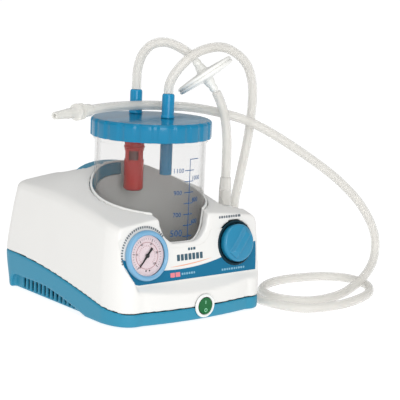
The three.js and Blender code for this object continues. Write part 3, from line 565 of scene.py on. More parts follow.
def planOutline(inset):
    c = caseSet
    side, front, back = c["halfWidth"] - inset, c["front"] + inset, c["back"] - inset
    bow, n, reach = c["bow"] + inset, c["curve"], c["reach"]
    points = [(-side, -66)]
    points += bezier((-side, -66), (-86 + inset, front - 3.5), (-62, front), n)
    points += bezier((-62, front), (0, 2 * bow - front), (68, front), n)
    points += bezier((68, front), (93 - inset, front - 7), (side, -62), n)
    points += bezier((side, -62), (side, (back - reach - 62) / 2), (side, back - reach), n)
    points += bezier((side, back - reach), (side, back), (side - reach, back), n)
    points += bezier((side - reach, back), (0, back), (reach - side, back), n)
    points += bezier((reach - side, back), (-side, back), (-side, back - reach), n)
    points += bezier((-side, back - reach), (-side, (back - reach - 66) / 2), (-side, -66), n)
    return points[:-1]


def topHeight(x, y):
    rise = 112.6 - 20.6 * max(0, (105 - y) / 197) ** 2.6
    across = min(1, abs(x) / 88)
    spread = 50 if y < 33 else 34
    hump = 22 * math.exp(-0.5 * (((x + 4) / 48) ** 2 + ((y - 33) / spread) ** 2))
    return rise + 6.5 * (1 - across**2) + hump * (1 - across**4)


def leaned(x, y, z):  # a plan point moved by the walls' lean and the back's bulge at its height
    level = min(1, max(0, (z - caseSet["foot"]) / caseSet["levels"]))
    x *= 1 - max(0, level - 0.25) * 8 / caseSet["halfWidth"]
    if y > 0:
        b = caseSet["bulge"]
        i = min(3, int(level * 4))
        t = level * 4 - i
        before, after = b[max(0, i - 1)], b[min(4, i + 2)]
        m0, m1 = (b[i + 1] - before) / 2, (after - b[i]) / 2
        t2, t3 = t * t, t * t * t
        bulge = b[i] * (2 * t3 - 3 * t2 + 1) + m0 * (t3 - 2 * t2 + t)
        bulge = bulge + b[i + 1] * (3 * t2 - 2 * t3) + m1 * (t3 - t2)
        y += bulge * y / caseSet["back"]
    return x, y


def housingBlank(name, inset):
    c = caseSet
    outline = planOutline(inset)
    count = len(outline)
    foot, edge = c["foot"] + inset, c["edge"] - inset
    points, rings = [], []

    def ring(place):
        rings.append(len(points))
        points.extend(spot(*place(i, x, y)) for i, (x, y) in enumerate(outline))

    def shrink(x, y, by):  # towards the middle of the plan by a distance in mm
        length = math.hypot(x, y)
        k = max(0.0, 1 - by / length)
        return x * k, y * k

    rims = []
    for x, y in outline:
        z = 100.0
        for _ in range(4):
            px, py = leaned(x, y, z)
            z = topHeight(px, py) - inset
        rims.append(z)
    for by, up in ((2.0, 0.0), (0.6, 0.6), (0.0, 2.0)):
        ring(lambda i, x, y: (*leaned(*shrink(x, y, by), foot), foot + up))
    for k in range(1, c["rows"] + 1):
        share = k / c["rows"]
        ring(lambda i, x, y: (
            *leaned(x, y, foot + 2 + share * (rims[i] - edge - foot - 2)),
            foot + 2 + share * (rims[i] - edge - foot - 2),
        ))
    for k in range(1, 9):
        a = k / 8 * math.pi / 2

        def rolled(i, x, y):
            px, py = leaned(x, y, rims[i] - edge)
            px, py = shrink(px, py, edge * (1 - math.cos(a)))
            return px, py, topHeight(px, py) - inset - edge * (1 - math.sin(a))

        ring(rolled)
    steps = 24
    for k in range(1, steps):

        def inner(i, x, y):
            px, py = leaned(x, y, rims[i] - edge)
            px, py = shrink(px, py, edge)
            px, py = px * (1 - k / steps), py * (1 - k / steps)
            return px, py, topHeight(px, py) - inset

        ring(inner)
    middle = len(points)
    points.append(spot(0, 0, topHeight(0, 0) - inset))
    faces = [tuple(range(count))[::-1]]
    for a, b in zip(rings, rings[1:]):
        faces += [(a + k, a + (k + 1) % count, b + (k + 1) % count, b + k) for k in range(count)]
    last = rings[-1]
    faces += [(last + k, last + (k + 1) % count, middle) for k in range(count)]
    return meshPiece(name, points, faces, None)


def roundedBox(x0, x1, y0, y1, r, steps=6):
    corners = [(x1, y0), (x1, y1), (x0, y1), (x0, y0)]
    starts = [(x1 - r, y0), (x1, y1 - r), (x0 + r, y1), (x0, y0 + r)]
    ends = [(x1, y0 + r), (x1 - r, y1), (x0, y1 - r), (x0 + r, y0)]
    points = []
    for start, corner, end in zip(starts, corners, ends):
        points.append(start)
        points += bezier(start, corner, end, steps)
    return points


def block(low, high):  # a plain rectangle between two corners
    return [low, (high[0], low[1]), high, (low[0], high[1])]


def rearward(name, outline, y0, y1):  # an outline in x and z, run along y
    return prism(name, outline, (y0, y1), lambda a, b, d: spot(a, d, b))


def crosswise(name, outline, x0, x1):  # an outline in y and z, run along x
    return prism(name, outline, (x0, x1), lambda a, b, d: spot(d, a, b))


def upright(name, outline, z0, z1):  # an outline in x and y, run along z
    return prism(name, outline, (z0, z1), lambda a, b, d: spot(a, b, d))


def rod(name, radius, at, axis, low, high, segments=64):
    profile = [(0, low), (radius, low), (radius, high), (0, high)]
    return lathePiece(name, profile, spot(*at), axis, None, segments)


def windowOutline(inset):
    half = ((14.5, 0), (20.5, 3.7), (25, 8.7), (27.5, 13.7), (30.2, 23.7), (33, 60))
    right = [(-5.5 + x + inset, 76.3 + z - (inset if z < 5 else 0)) for x, z in half]
    left = [(-5.5 - x - inset, 76.3 + z - (inset if z < 5 else 0)) for x, z in half]
    return softened([*right, *left[::-1], right[0]], 9, 6)[:-1]


def housingCutters(inset):
    # the flat seat of the mains inlet, the leaning panel, the jar's window, the two vent scoops,
    # the shelf round the nozzle and the hand pocket behind the handle
    seat = block((-72 - inset, 6.5 - inset), (2 + inset, 37 + inset))
    tools = [rearward("seatCut", seat, 111 - inset, 160)]
    y, rise, foot = -90 + inset, 120, 39.5 - inset
    side = [
        (y - 0.36, foot), (y + rise * math.tan(panelTilt), 42 + rise), (y - 60, 42 + rise),
        (y - 60, foot - 60 * 8 / 9),
    ]
    panelSide = crosswise("panelCut", side, -130, 130)
    edge = [
        (-68 - inset, 12), (-68 - inset, foot), (-82.4 - inset, 62), (-86 - inset, 92),
        (-86 - inset, 160), (120, 160), (120, 12),
    ]
    edge = softened([*edge, edge[0]], 7, 6)[:-1]
    tools.append(carve(panelSide, [rearward("panelEdge", edge, -170, 0)], "INTERSECT"))
    tools.append(rearward("windowCut", windowOutline(inset), -125, -50.5))
    scoop = [(100 + inset, -10), (100 + inset, 9)]
    scoop += bezier((100 + inset, 9), (100 + inset, 16.5 + inset), (88, 16.5 + inset), 8)
    scoop.append((44, 17 + inset))
    scoop += bezier((44, 17 + inset), (8, 15 + inset), (-46, 0), 20)
    scoop.append((-46, -10))
    tools.append(crosswise("ventLeft", scoop, -115, -84.5 + inset))
    tools.append(crosswise("ventRight", scoop, 84.5 - inset, 115))
    shelf = roundedBox(60 - inset, 130, -64 - inset, 2 + inset, 12)
    tools.append(upright("shelfCut", shelf, 98 - inset, 165))
    pocket = roundedBox(-36 - inset, 28 + inset, 99 - inset, 190, 8)
    tools.append(rearward("pocketCut", pocket, 44 - inset, 165))
    return tools


def partingSide(offset):
    edge = [(150, -20), (150, 39.7 + offset)]
    steps = 36
    for k in range(steps + 1):
        y = 108 - 180 * k / steps
        edge.append((y, 17.2 + 22.5 * math.sin((y + 72) / 180 * math.pi / 2) + offset))
    edge += [(-92, 14.5 + offset), (-140, 13 + offset), (-140, -20)]
    return crosswise("parting", edge, -130, 130)


def handleBand(name, grow):
    left, right = -46 - grow, 38 + grow
    low, top, under = 111 - grow, 137.5 + grow, 124.5 - grow
    outline = [(left, low), (left, 122)]
    outline += bezier((left, 122), (-36, top), (-4, top), 16)
    outline += bezier((-4, top), (28, top), (right, 122), 16)
    outline += [(right, low), (29 - grow, low)]
    outline += bezier((29 - grow, low), (24, under), (-4, under), 16)
    outline += bezier((-4, under), (-32, under), (-37 + grow, low), 16)
    return rearward(name, outline, 10, 60 + grow)


def moulding(piece, voxel, rounds, finish, sharpAngle=180):
    # an even skin over the cut shape, its edges eased as a moulding's are
    skin = piece.modifiers.new("skin", "REMESH")
    skin.mode = "VOXEL"
    skin.voxel_size = voxel * mm
    skin.use_smooth_shade = True
    ease = piece.modifiers.new("ease", "SMOOTH")
    ease.factor = 0.5
    ease.iterations = rounds
    settle(piece)
    smoothed(piece, sharpAngle)
    refinish(piece, finish)
    print("moulded", piece.name, len(piece.data.polygons))
    return piece


def owned(piece, body, slot, *nodes):
    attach(piece, body)
    if nodes:
        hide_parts(*nodes)
    return piece


outside = carve(housingBlank("housing_outside", 0), housingCutters(0))
inside = carve(housingBlank("housing_inside", caseSet["wall"]), housingCutters(caseSet["wall"]))
wellTrim = outside.copy()
wellTrim.data = outside.data.copy()
scene.collection.objects.link(wellTrim)
carve(outside, [inside])
cover, tray = outside, outside.copy()
tray.data = outside.data.copy()
scene.collection.objects.link(tray)
cover.name, tray.name = "cover_shell", "base_shell"
carve(cover, [
    partingSide(0.15),
    rod("wellHole", wellOuter, jarAt, (0, 0, 1), 0, 200, 128),
    handleBand("handleGap", 0.3),
    rod("gaugeHole", 20.5, gaugeAt, (0, -1, 0), -12, 60),
    rod("knobHole", 22.4, knobAt, (0, -1, 0), -12, 60),
    rod("switchHole", 10.3, switchAt, (0, -1, 0), -22, 30),
    rod("nozzleHole", 4.3, nozzleAt, (0, 0, 1), 80, 110),
])
carve(tray, [partingSide(-0.15)], "INTERSECT")


ventSet = {"count": 16, "first": 83, "pitch": 7.8, "half": 2.1, "foot": 3.4, "wall": 82.5, "deep": 6}


def ventSlots(v):  # the slots get lower towards the front, as the scoop over them does
    tools = []
    for side in (-1, 1):
        for i in range(v["count"]):
            y = v["first"] - i * v["pitch"]
            roof = min(14.8, 15.8 * (1 - (max(0, (50 - y) / 98)) ** 2))
            if roof < 6:
                continue
            x = side * v["wall"]
            outline = block((y - v["half"], v["foot"]), (y + v["half"], roof))
            tools.append(crosswise("slot", outline, x - v["deep"], x + v["deep"]))
    return tools


carve(tray, [
    *ventSlots(ventSet),
    rod("switchHole", 10.3, switchAt, (0, -1, 0), -22, 30),
    rearward("mainsHole", block((-62.3, 11), (-33.7, 32.6)), 91, 120),
    rearward("fuseHole", block((-27.3, 13.5), (-8.7, 30.1)), 91, 120),
])
owned(moulding(cover, 1.55, 5, finishes["white"]), "housing", "shell_white", "top_cover")
owned(moulding(tray, 1.15, 3, finishes["blue"]), "housing", "base_blue", "base_tray")

wellProfile = [(0, 19.5), (59.3, 19.5), (59.3, 160), (wellRadius, 160), (wellRadius, 22), (0, 22)]
well = lathePiece("well_cup", wellProfile, spot(*jarAt), (0, 0, 1), None, 160)
carve(well, [wellTrim], "INTERSECT")
legSplit = 2  # the well is cut for the handle left of this line, and the handle for the well right of it
leftSide = upright("leftSide", block((-80, -100), (legSplit, 160)), 60, 180)
carve(well, [carve(handleBand("handleGap", 0.3), [leftSide], "INTERSECT")])
owned(refinish(smoothed(well, 30), finishes["well"]), "housing", "well_grey", "jar_well")

rightSide = upright("rightSide", block((legSplit, -100), (80, 160)), 60, 180)
wellSide = carve(rod("wellSide", wellOuter, jarAt, (0, 0, 1), 0, 200, 128), [rightSide], "INTERSECT")
jarSide = rod("jarSide", wellRadius + 0.2, jarAt, (0, 0, 1), 0, 200, 128)
handle = carve(handleBand("handle_arch", 0), [jarSide, wellSide])
owned(moulding(handle, 1.1, 8, finishes["blue"]), "housing", "base_blue", "carry_handle")
print("housing made")


# repeats: one small piece set out round an axis or up a line
def repeatTree():
    tree = bpy.data.node_groups.new("repeatRound", "GeometryNodeTree")
    face = tree.interface
    for name, kind, value in (
        ("Count", "NodeSocketInt", 4), ("Radius", "NodeSocketFloat", 0.01),
        ("Start", "NodeSocketFloat", 0.0), ("Step", "NodeSocketFloat", 0.1),
        ("Rise", "NodeSocketFloat", 0.0), ("Piece", "NodeSocketObject", None),
        ("Finish", "NodeSocketMaterial", None),
    ):
        socket = face.new_socket(name=name, in_out="INPUT", socket_type=kind)
        if value is not None:
            socket.default_value = value
    face.new_socket(name="Geometry", in_out="OUTPUT", socket_type="NodeSocketGeometry")
    add, link = tree.nodes.new, tree.links.new
    given, result = add("NodeGroupInput"), add("NodeGroupOutput")
    line = add("GeometryNodeMeshLine")
    index = add("GeometryNodeInputIndex")

    def maths(operation, a, b=None):
        node = add("ShaderNodeMath")
        node.operation = operation
        link(a, node.inputs[0])
        if b is not None:
            link(b, node.inputs[1])
        return node.outputs[0]

    link(given.outputs["Count"], line.inputs["Count"])
    angle = maths("ADD", maths("MULTIPLY", index.outputs[0], given.outputs["Step"]), given.outputs["Start"])
    place = add("ShaderNodeCombineXYZ")
    link(maths("MULTIPLY", maths("COSINE", angle), given.outputs["Radius"]), place.inputs["X"])
    link(maths("MULTIPLY", maths("SINE", angle), given.outputs["Radius"]), place.inputs["Y"])
    link(maths("MULTIPLY", index.outputs[0], given.outputs["Rise"]), place.inputs["Z"])
    turn = add("ShaderNodeCombineXYZ")
    link(angle, turn.inputs["Z"])
    setAt = add("GeometryNodeSetPosition")
    link(line.outputs["Mesh"], setAt.inputs["Geometry"])
    link(place.outputs[0], setAt.inputs["Position"])
    source = add("GeometryNodeObjectInfo")
    link(given.outputs["Piece"], source.inputs["Object"])
    spread = add("GeometryNodeInstanceOnPoints")
    link(setAt.outputs["Geometry"], spread.inputs["Points"])
    link(source.outputs["Geometry"], spread.inputs["Instance"])
    link(turn.outputs[0], spread.inputs["Rotation"])
    real = add("GeometryNodeRealizeInstances")
    link(spread.outputs["Instances"], real.inputs["Geometry"])
    coat = add("GeometryNodeSetMaterial")
    link(real.outputs["Geometry"], coat.inputs["Geometry"])
    link(given.outputs["Finish"], coat.inputs["Material"])
    link(coat.outputs["Geometry"], result.inputs["Geometry"])
    return tree


repeatRound = repeatTree()


def repeated(name, unit, finish, place, count, radius=0.0, start=0.0, step=0.0, rise=0.0):
    # angles in degrees and lengths in mm; place is the matrix the pattern is laid with
    mesh = bpy.data.meshes.new(name)
    mesh.materials.append(finish)
    piece = bpy.data.objects.new(name, mesh)
    scene.collection.objects.link(piece)
    maker = piece.modifiers.new("repeat", "NODES")
    maker.node_group = repeatRound
    sockets = {s.name: s.identifier for s in repeatRound.interface.items_tree if s.item_type == "SOCKET"}
    values = {
        "Count": count, "Radius": radius * mm, "Start": math.radians(start), "Step": math.radians(step),
        "Rise": rise * mm, "Piece": unit, "Finish": finish,
    }
    for key, value in values.items():
        maker[sockets[key]] = value
    settle(piece)
    piece.data.transform(place)
    bpy.data.objects.remove(unit, do_unlink=True)
    return piece


def localBox(name, length, width, height, ease=0.25):  # a small eased block about its own middle, in mm
    bm = bmesh.new()
    bmesh.ops.create_cube(bm, size=1)
    bmesh.ops.scale(bm, vec=(length * mm, width * mm, height * mm), verts=bm.verts)
    reach = min(length, width, height) * ease * mm
    bmesh.ops.bevel(bm, geom=bm.edges[:], offset=reach, segments=2, affect="EDGES", profile=0.5)
    mesh = bpy.data.meshes.new(name)
    bm.to_mesh(mesh)
    bm.free()
    piece = bpy.data.objects.new(name, mesh)
    scene.collection.objects.link(piece)
    return piece


def panelPlace(at, height=0.0):  # lays a flat drawing on the panel, x to the right and y up it
    basis = Matrix(((1, 0, 0), panelUp, panelOut)).transposed().to_4x4()
    return Matrix.Translation(spot(*(at + panelOut * height))) @ basis


def written(name, text, size, finish, place, depth=0.12, bend=0.0):
    # numbers as thin raised print; bend is the radius in mm of the wall they lie on
    curve = bpy.data.curves.new(name, "FONT")
    curve.body = text
    curve.size = size * mm
    curve.align_x = "CENTER"
    curve.align_y = "CENTER"
    curve.extrude = depth * mm / 2
    curve.resolution_u = 2
    holder = bpy.data.objects.new(name + "_text", curve)
    scene.collection.objects.link(holder)
    graph = bpy.context.evaluated_depsgraph_get()
    mesh = bpy.data.meshes.new_from_object(holder.evaluated_get(graph))
    bpy.data.objects.remove(holder, do_unlink=True)
    bm = bmesh.new()
    bm.from_mesh(mesh)
    bmesh.ops.remove_doubles(bm, verts=bm.verts, dist=1e-7)
    if bend:
        for v in bm.verts:
            a = v.co.x / (bend * mm)
            r = bend * mm + v.co.z
            v.co = Vector((r * math.sin(a), v.co.y, r * math.cos(a) - bend * mm))
    bmesh.ops.transform(bm, matrix=place, verts=bm.verts)
    bmesh.ops.recalc_face_normals(bm, faces=bm.faces)
    bm.to_mesh(mesh)
    bm.free()
    mesh.materials.clear()
    mesh.materials.append(finish)
    piece = bpy.data.objects.new(name, mesh)
    scene.collection.objects.link(piece)
    return piece


def joined(name, pieces):  # one object out of several that ride together
    bm = bmesh.new()
    finishesUsed = []
    for piece in pieces:
        first = len(bm.faces)
        bm.from_mesh(piece.data)
        bm.faces.ensure_lookup_table()
        slots = []
        for finish in piece.data.materials:
            if finish not in finishesUsed:
                finishesUsed.append(finish)
            slots.append(finishesUsed.index(finish))
        for face in bm.faces[first:]:
            face.material_index = slots[face.material_index] if slots else 0
        bpy.data.objects.remove(piece, do_unlink=True)
    mesh = bpy.data.meshes.new(name)
    bm.to_mesh(mesh)
    bm.free()
    for finish in finishesUsed:
        mesh.materials.append(finish)
    result = bpy.data.objects.new(name, mesh)
    scene.collection.objects.link(result)
    return result


# vacuum gauge
gaugeSet = {"sweep": 270, "start": 225, "majors": 6, "minors": 31, "inners": 23, "needle": 228, "lift": 3.9}


def onGauge(profile, name, finish, segments=96, soften=0.0, sharpAngle=32):
    return lathePiece(name, profile, spot(*gaugeAt), panelOut, finish, segments, soften, sharpAngle)


def makeGauge(g):
    ring = [
        (20.6, 1.2), (24.2, 1.2), (24.5, 3.6), (23.9, 5.6), (22.6, 6.9), (21.3, 7.1), (19.6, 5.6),
        (19.4, 5.1), (20.6, 5.1), (20.6, 1.2),
    ]
    bezel = onGauge(ring, "gauge_ring", finishes["bezel"], 128, 0.5)
    owned(bezel, "housing", "bezel_blue", "gauge_bezel")
    card = [(0, 2.6), (19.8, 2.6), (19.8, 3.2), (0, 3.2)]
    owned(onGauge(card, "gauge_face", finishes["dial"], 96, 0.2), "housing", "dial_card", "gauge_dial")
    glass = [(0, 5.4), (18.6, 5.4), (19, 5.6), (18.6, 5.9), (9, 6.25), (0, 6.4)]
    owned(onGauge(glass, "gauge_glass", finishes["lens"], 96), "housing", "lens_clear", "gauge_lens")
    face = panelPlace(gaugeAt, 3.26)
    parts = [
        repeated("majors", localBox("tick", 2.8, 0.6, 0.12), finishes["needle"], face, g["majors"], 15.4,
                 g["start"], -g["sweep"] / (g["majors"] - 1)),
        repeated("minors", localBox("tick", 1.5, 0.3, 0.12), finishes["needle"], face, g["minors"], 16.1,
                 g["start"], -g["sweep"] / (g["minors"] - 1)),
        repeated("inners", localBox("tick", 1.1, 0.36, 0.12), finishes["dialRed"], face,
                 g["inners"], 9.4, g["start"], -g["sweep"] / (g["inners"] - 1)),
        repeated("dots", localBox("dot", 1.5, 1.5, 0.16, 0.45), finishes["needle"], face, 2, 14.6, 262, 16),
    ]
    for i in range(g["majors"]):
        a = math.radians(g["start"] - g["sweep"] * i / (g["majors"] - 1))
        at = Matrix.Translation((math.cos(a) * 11.9 * mm, math.sin(a) * 11.9 * mm, 0))
        parts.append(written("digits", str(i * 20), 3.0, finishes["needle"], face @ at))
    arc = [(12.6, 3.2), (13.0, 3.2), (13.0, 3.28), (12.6, 3.28), (12.6, 3.2)]
    parts.append(onGauge(arc, "scaleRing", finishes["dialRed"], 96))
    owned(joined("gauge_scale", parts), "housing", "black_plastic")


makeGauge(gaugeSet)


def makeNeedle(g):
    turn = math.radians(g["needle"])
    place = panelPlace(gaugeAt, g["lift"]) @ Matrix.Rotation(turn, 4, "Z")
    edge = [
        (15, 0.3), (15, -0.3), (3, -0.9), (0, -1.2), (-5, -0.9), (-9, -1.4), (-9, 1.4), (-5, 0.9),
        (0, 1.2), (3, 0.9), (15, 0.3),
    ]
    blade = prism(
        "blade", softened(edge, 0.3, 2)[:-1], (0, 0.5),
        lambda a, b, d: place @ Vector((a * mm, b * mm, d * mm)), finishes["needle"],
    )
    hubProfile = [(0, 0), (2.1, 0), (2.1, 0.7), (1.5, 1.1), (0, 1.2)]
    hubAt = spot(*(gaugeAt + panelOut * g["lift"]))
    hub = lathePiece("hub", hubProfile, hubAt, panelOut, finishes["needle"], 40)
    owned(joined("gauge_pointer", [blade, hub]), "needle", "black_plastic", "gauge_needle")


makeNeedle(gaugeSet)
print("gauge made")

# regulator knob
knobSet = {"turn": 50, "half": 15.6, "base": 6.4, "top": 3.0, "face": 7.6, "high": 12.4}


def makeKnob(k):
    face = k["face"]
    profile = [(0, -1.6), (18, -1.6), (18.6, 1), (19, face - 1.6), (17.4, face), (0, face + 0.7)]
    body = lathePiece("knob_grip", softened(profile, 1.8), spot(*knobAt), panelOut, None, 96)
    basis = panelPlace(knobAt) @ Matrix.Rotation(math.radians(k["turn"]), 4, "Z")
    base, top, high = k["base"], k["top"], k["high"]
    section = [
        (-base, 1.0), (base, 1.0), (base - 0.8, face + 0.5), (top, high), (-top, high),
        (-base + 0.8, face + 0.5),
    ]
    bar = prism(
        "bar", section, (-k["half"], k["half"]), lambda a, b, d: basis @ Vector((d * mm, a * mm, b * mm)),
    )
    crownProfile = [(0, -1), (17.6, -1), (17.6, 8.6), (12, 12.2), (0, 12.8)]
    crown = lathePiece("crown", crownProfile, spot(*knobAt), panelOut, None, 96)
    carve(bar, [crown], "INTERSECT")
    carve(body, [bar], "UNION")
    carve(body, [rod("knobBore", 3, knobAt, panelOut, -3, 4)])
    owned(moulding(body, 0.42, 5, finishes["knob"]), "knob", "knob_blue", "regulator_knob")
    # the collar's dark colour is painted shade in the recess between knob and panel
    pocket = [
        (4.2, -4), (21.6, -4), (21.6, 0.4), (22.4, 0.5), (22.4, 1), (21.4, 1.3), (20.4, 1),
        (20.2, -2.6), (4.2, -2.6), (4.2, -4),
    ]
    collar = lathePiece("knob_pocket", pocket, spot(*knobAt), panelOut, finishes["pocket"], 96, 0.3)
    owned(collar, "housing", "pocket_dark", "knob_collar")


makeKnob(knobSet)
print("knob made")


# rocker switch
def makeSwitch():
    out = Vector((0, -1, 0))
    rim = [(8.8, 0.35), (11.8, 0.35), (11.8, 1.3), (10.9, 2.4), (9.6, 2.6), (8.8, 2.1), (8.8, 0.35)]
    bezel = lathePiece("switch_ring", rim, spot(*switchAt), out, finishes["film"], 96, 0.4)
    owned(bezel, "housing", "shell_white", "switch_bezel")
    side = [(-3.2, -9), (3.5, -9), (2.6, -4), (2.2, 0), (2.1, 4), (2.4, 9), (-1.2, 9), (-3.2, 0)]
    x, y, z = switchAt
    rocker = prism("switch_paddle", side, (-9, 9), lambda a, b, d: spot(x + d, y - a, z + b))
    carve(rocker, [rod("rockerRound", 8.1, switchAt, out, -8, 6, 96)], "INTERSECT")
    moulding(rocker, 0.28, 4, finishes["green"])
    owned(rocker, "rocker", "rocker_green", "switch_rocker")
    turn = Matrix(((1, 0, 0), (0, 0, 1), (0, -1, 0))).transposed().to_4x4()
    upperMark = Matrix.Translation(spot(x, y - 2.3, z + 3.6)) @ turn
    lowerMark = Matrix.Translation(spot(x, y - 2.85, z - 4.2)) @ turn
    bar = repeated("bar", localBox("bar", 0.7, 3.4, 0.3), finishes["mark"], upperMark, 1)
    ring = lathePiece("ring", [(1.2, -0.15), (1.8, -0.15), (1.8, 0.15), (1.2, 0.15), (1.2, -0.15)],
                      lowerMark.translation, out, finishes["mark"], 40)
    owned(joined("switch_marks", [bar, ring]), "rocker", "rocker_green")


makeSwitch()
print("switch made")

# printing on the front
bandSet = {"film": (0.05, 0.42), "ink": (0.42, 0.55), "over": (0.55, 0.66)}


def onFront(x, z, h):
    return spot(*(Vector((x, -90 + (z - 42) * math.tan(panelTilt), z)) + panelOut * h))


def printed(name, outline, finish, depth):
    return prism(name, outline, depth, lambda a, b, d: onFront(a, b, d), finish)


def controlHoles(piece, finish):
    carve(piece, [
        rod("gaugeHole", 20.8, gaugeAt, panelOut, -5, 9, 96),
        rod("knobHole", 22.8, knobAt, panelOut, -5, 9, 96),
    ])
    return smoothed(refinish(piece, finish), 30)


def blockRow(x, low, high, widths, space, finish, depth):  # plain blocks where small print would be
    row = []
    for width in widths:
        outline = roundedBox(x, x + width, low, high, min(0.5, width / 3), 3)
        row.append(printed("block", outline, finish, depth))
        x += width + space
    return row


def makePrint(b):
    film = [
        (-67.4, 40.6), (83, 40.6), (84, 68), (80, 86), (25.8, 86), (24, 80), (19, 74.5), (12, 72),
        (-23, 72), (-30, 74.5), (-35, 80), (-36.8, 86), (-84.4, 86), (-81.8, 62),
    ]
    film = softened([*film, film[0]], 3, 5)[:-1]
    sheet = controlHoles(printed("front_film", film, finishes["white"], b["film"]), finishes["white"])
    owned(sheet, "housing", "label_film", "front_label")
    edge = [(-67.8, 42), (-64, 41), (82, 41)]
    edge += bezier((82, 41), (84, 57), (83.8, 69.6), 6)
    edge += bezier((83.8, 69.6), (66, 66), (36, 57), 14)
    edge += bezier((36, 57), (4, 49.5), (-33, 52), 14)
    edge += bezier((-33, 52), (-58, 54), (-82.2, 68), 14)
    edge += bezier((-82.2, 68), (-81.6, 60), (-67.8, 42), 10)[:-1]
    band = controlHoles(printed("front_band", edge, finishes["band"], b["ink"]), finishes["band"])
    owned(band, "housing", "label_film")
    swoosh = bezier((-28, 54.2), (0, 53.4), (26, 58.6), 20)
    back = bezier((26, 58.6), (0, 55.2), (-28, 54.2), 20)
    marks = [printed("swoosh", [*swoosh, *back[:-1]], finishes["arc"], b["ink"])]
    ink, over = b["ink"], b["over"]
    marks += blockRow(-17, 59.2, 65.4, (3.6, 3.4, 3.6, 3.6, 3.4, 3.6, 3.4), 1.2, finishes["print"], ink)
    marks += blockRow(-3, 68.4, 71.0, (2.4, 2.2, 2.8), 0.9, finishes["print"], ink)
    marks += blockRow(-26, 44.2, 48.6, (5.4, 5.6), 0.8, finishes["tag"], over)
    marks += blockRow(-12.4, 45.4, 47.4, (2.2, 1.8, 2.4, 2.0, 2.4, 1.8), 0.8, finishes["printPale"], over)
    small = (2.0, 2.4, 1.8, 2.2, 2.6, 2.0, 1.8, 2.4, 2.2, 2.0)
    marks += blockRow(38, 44.0, 46.0, small, 0.9, finishes["printPale"], over)
    marks += blockRow(38, 95.6, 98.0, (*small[:8], 3.4), 0.9, finishes["note"], (0.02, 0.16))
    ringPlace = panelPlace(gaugeAt, 0.5)
    dash = localBox("dash", 2.2, 1.5, 0.14)
    marks.append(repeated("dashes", dash, finishes["note"], ringPlace, 29, 27.2, 38, 5.5))
    owned(joined("front_print", marks), "housing", "label_film")


makePrint(bandSet)
print("front printed")

# jar
jarProfile = [
    (0, 22.3), (53.4, 22.3), (55.4, 25.3), (56, 165), (56, 168.5), (57.6, 169.5), (57.6, 172),
    (56, 172.6), (56, 185.4), (54, 185.4), (54, 165), (53.4, 27.3), (51.4, 25.3), (0, 25.3),
]
jarSides = 192
jar = lathePiece("jar_clear_wall", jarProfile, spot(*jarAt), (0, 0, 1), finishes["jar"], jarSides, 0.9, 40)
owned(jar, "jar", "jar_clear", "jar")

gradSet = {"zero": 25.7, "per": 10.9, "azimuth": -82.0, "thin": 0.12, "line": 0.75, "dash": 4.4}


def printRadius(z):  # the wall widens by its draft; the print stands just off it
    return 55.4 + 0.6 * (z - 25.3) / 139.7 + 0.16


def jarPlace(azimuth, z):  # x round the wall, y up, z outwards
    a = math.radians(azimuth)
    out = Vector((math.cos(a), math.sin(a), 0))
    basis = Matrix((Vector((-out.y, out.x, 0)), Vector((0, 0, 1)), out)).transposed().to_4x4()
    return Matrix.Translation(spot(*(jarAt + out * printRadius(z) + Vector((0, 0, z))))) @ basis


def makeGraduation(g):
    parts = []
    low, high = g["zero"] + g["per"] * 4, g["zero"] + g["per"] * 12
    middle = (low + high) / 2
    axis = Matrix.Translation(spot(*jarAt))
    reach = 4  # each line is laid as three short blocks, so that it follows the wall
    for turn in (-reach, 0, reach):
        unit = localBox("tick", g["thin"], g["dash"], g["line"])
        place = axis @ Matrix.Translation((0, 0, low * mm))
        parts.append(repeated("ticks", unit, finishes["ink"], place, 8, printRadius(middle),
                              g["azimuth"] + turn - 0.5, 0.0, g["per"]))
    stem = localBox("stem", g["thin"], g["line"], high - low)
    place = axis @ Matrix.Translation((0, 0, middle * mm))
    parts.append(repeated("stem", stem, finishes["ink"], place, 1, printRadius(middle), g["azimuth"]))
    for turn in (2, 6, 10):
        cap = localBox("cap", g["thin"], g["dash"], g["line"])
        place = axis @ Matrix.Translation((0, 0, high * mm))
        parts.append(repeated("cap", cap, finishes["ink"], place, 1, printRadius(high), g["azimuth"] + turn))
    for hundred in range(5, 12):
        z = g["zero"] + g["per"] * hundred
        big = hundred == 5
        turn = g["azimuth"] + (-14.5 if hundred % 2 else 9.5)
        lift = 3.4 if big else (0 if hundred % 2 else 2.6)
        size = 9.4 if big else 6.4
        place = jarPlace(turn, z + lift)
        parts.append(written("digits", str(hundred * 100), size, finishes["ink"], place, 0.1, 56))
    owned(joined("jar_graduation", parts), "jar", "base_blue")


makeGraduation(gradSet)
print("jar made")

# lid
lidSet = {"grooves": 22, "deep": 1.3, "share": 0.21, "skirt": 58, "per": 18}
patientPort, vacuumPort = Vector((9.9, -28.6, 0)), Vector((3.5, 17.2, 0))


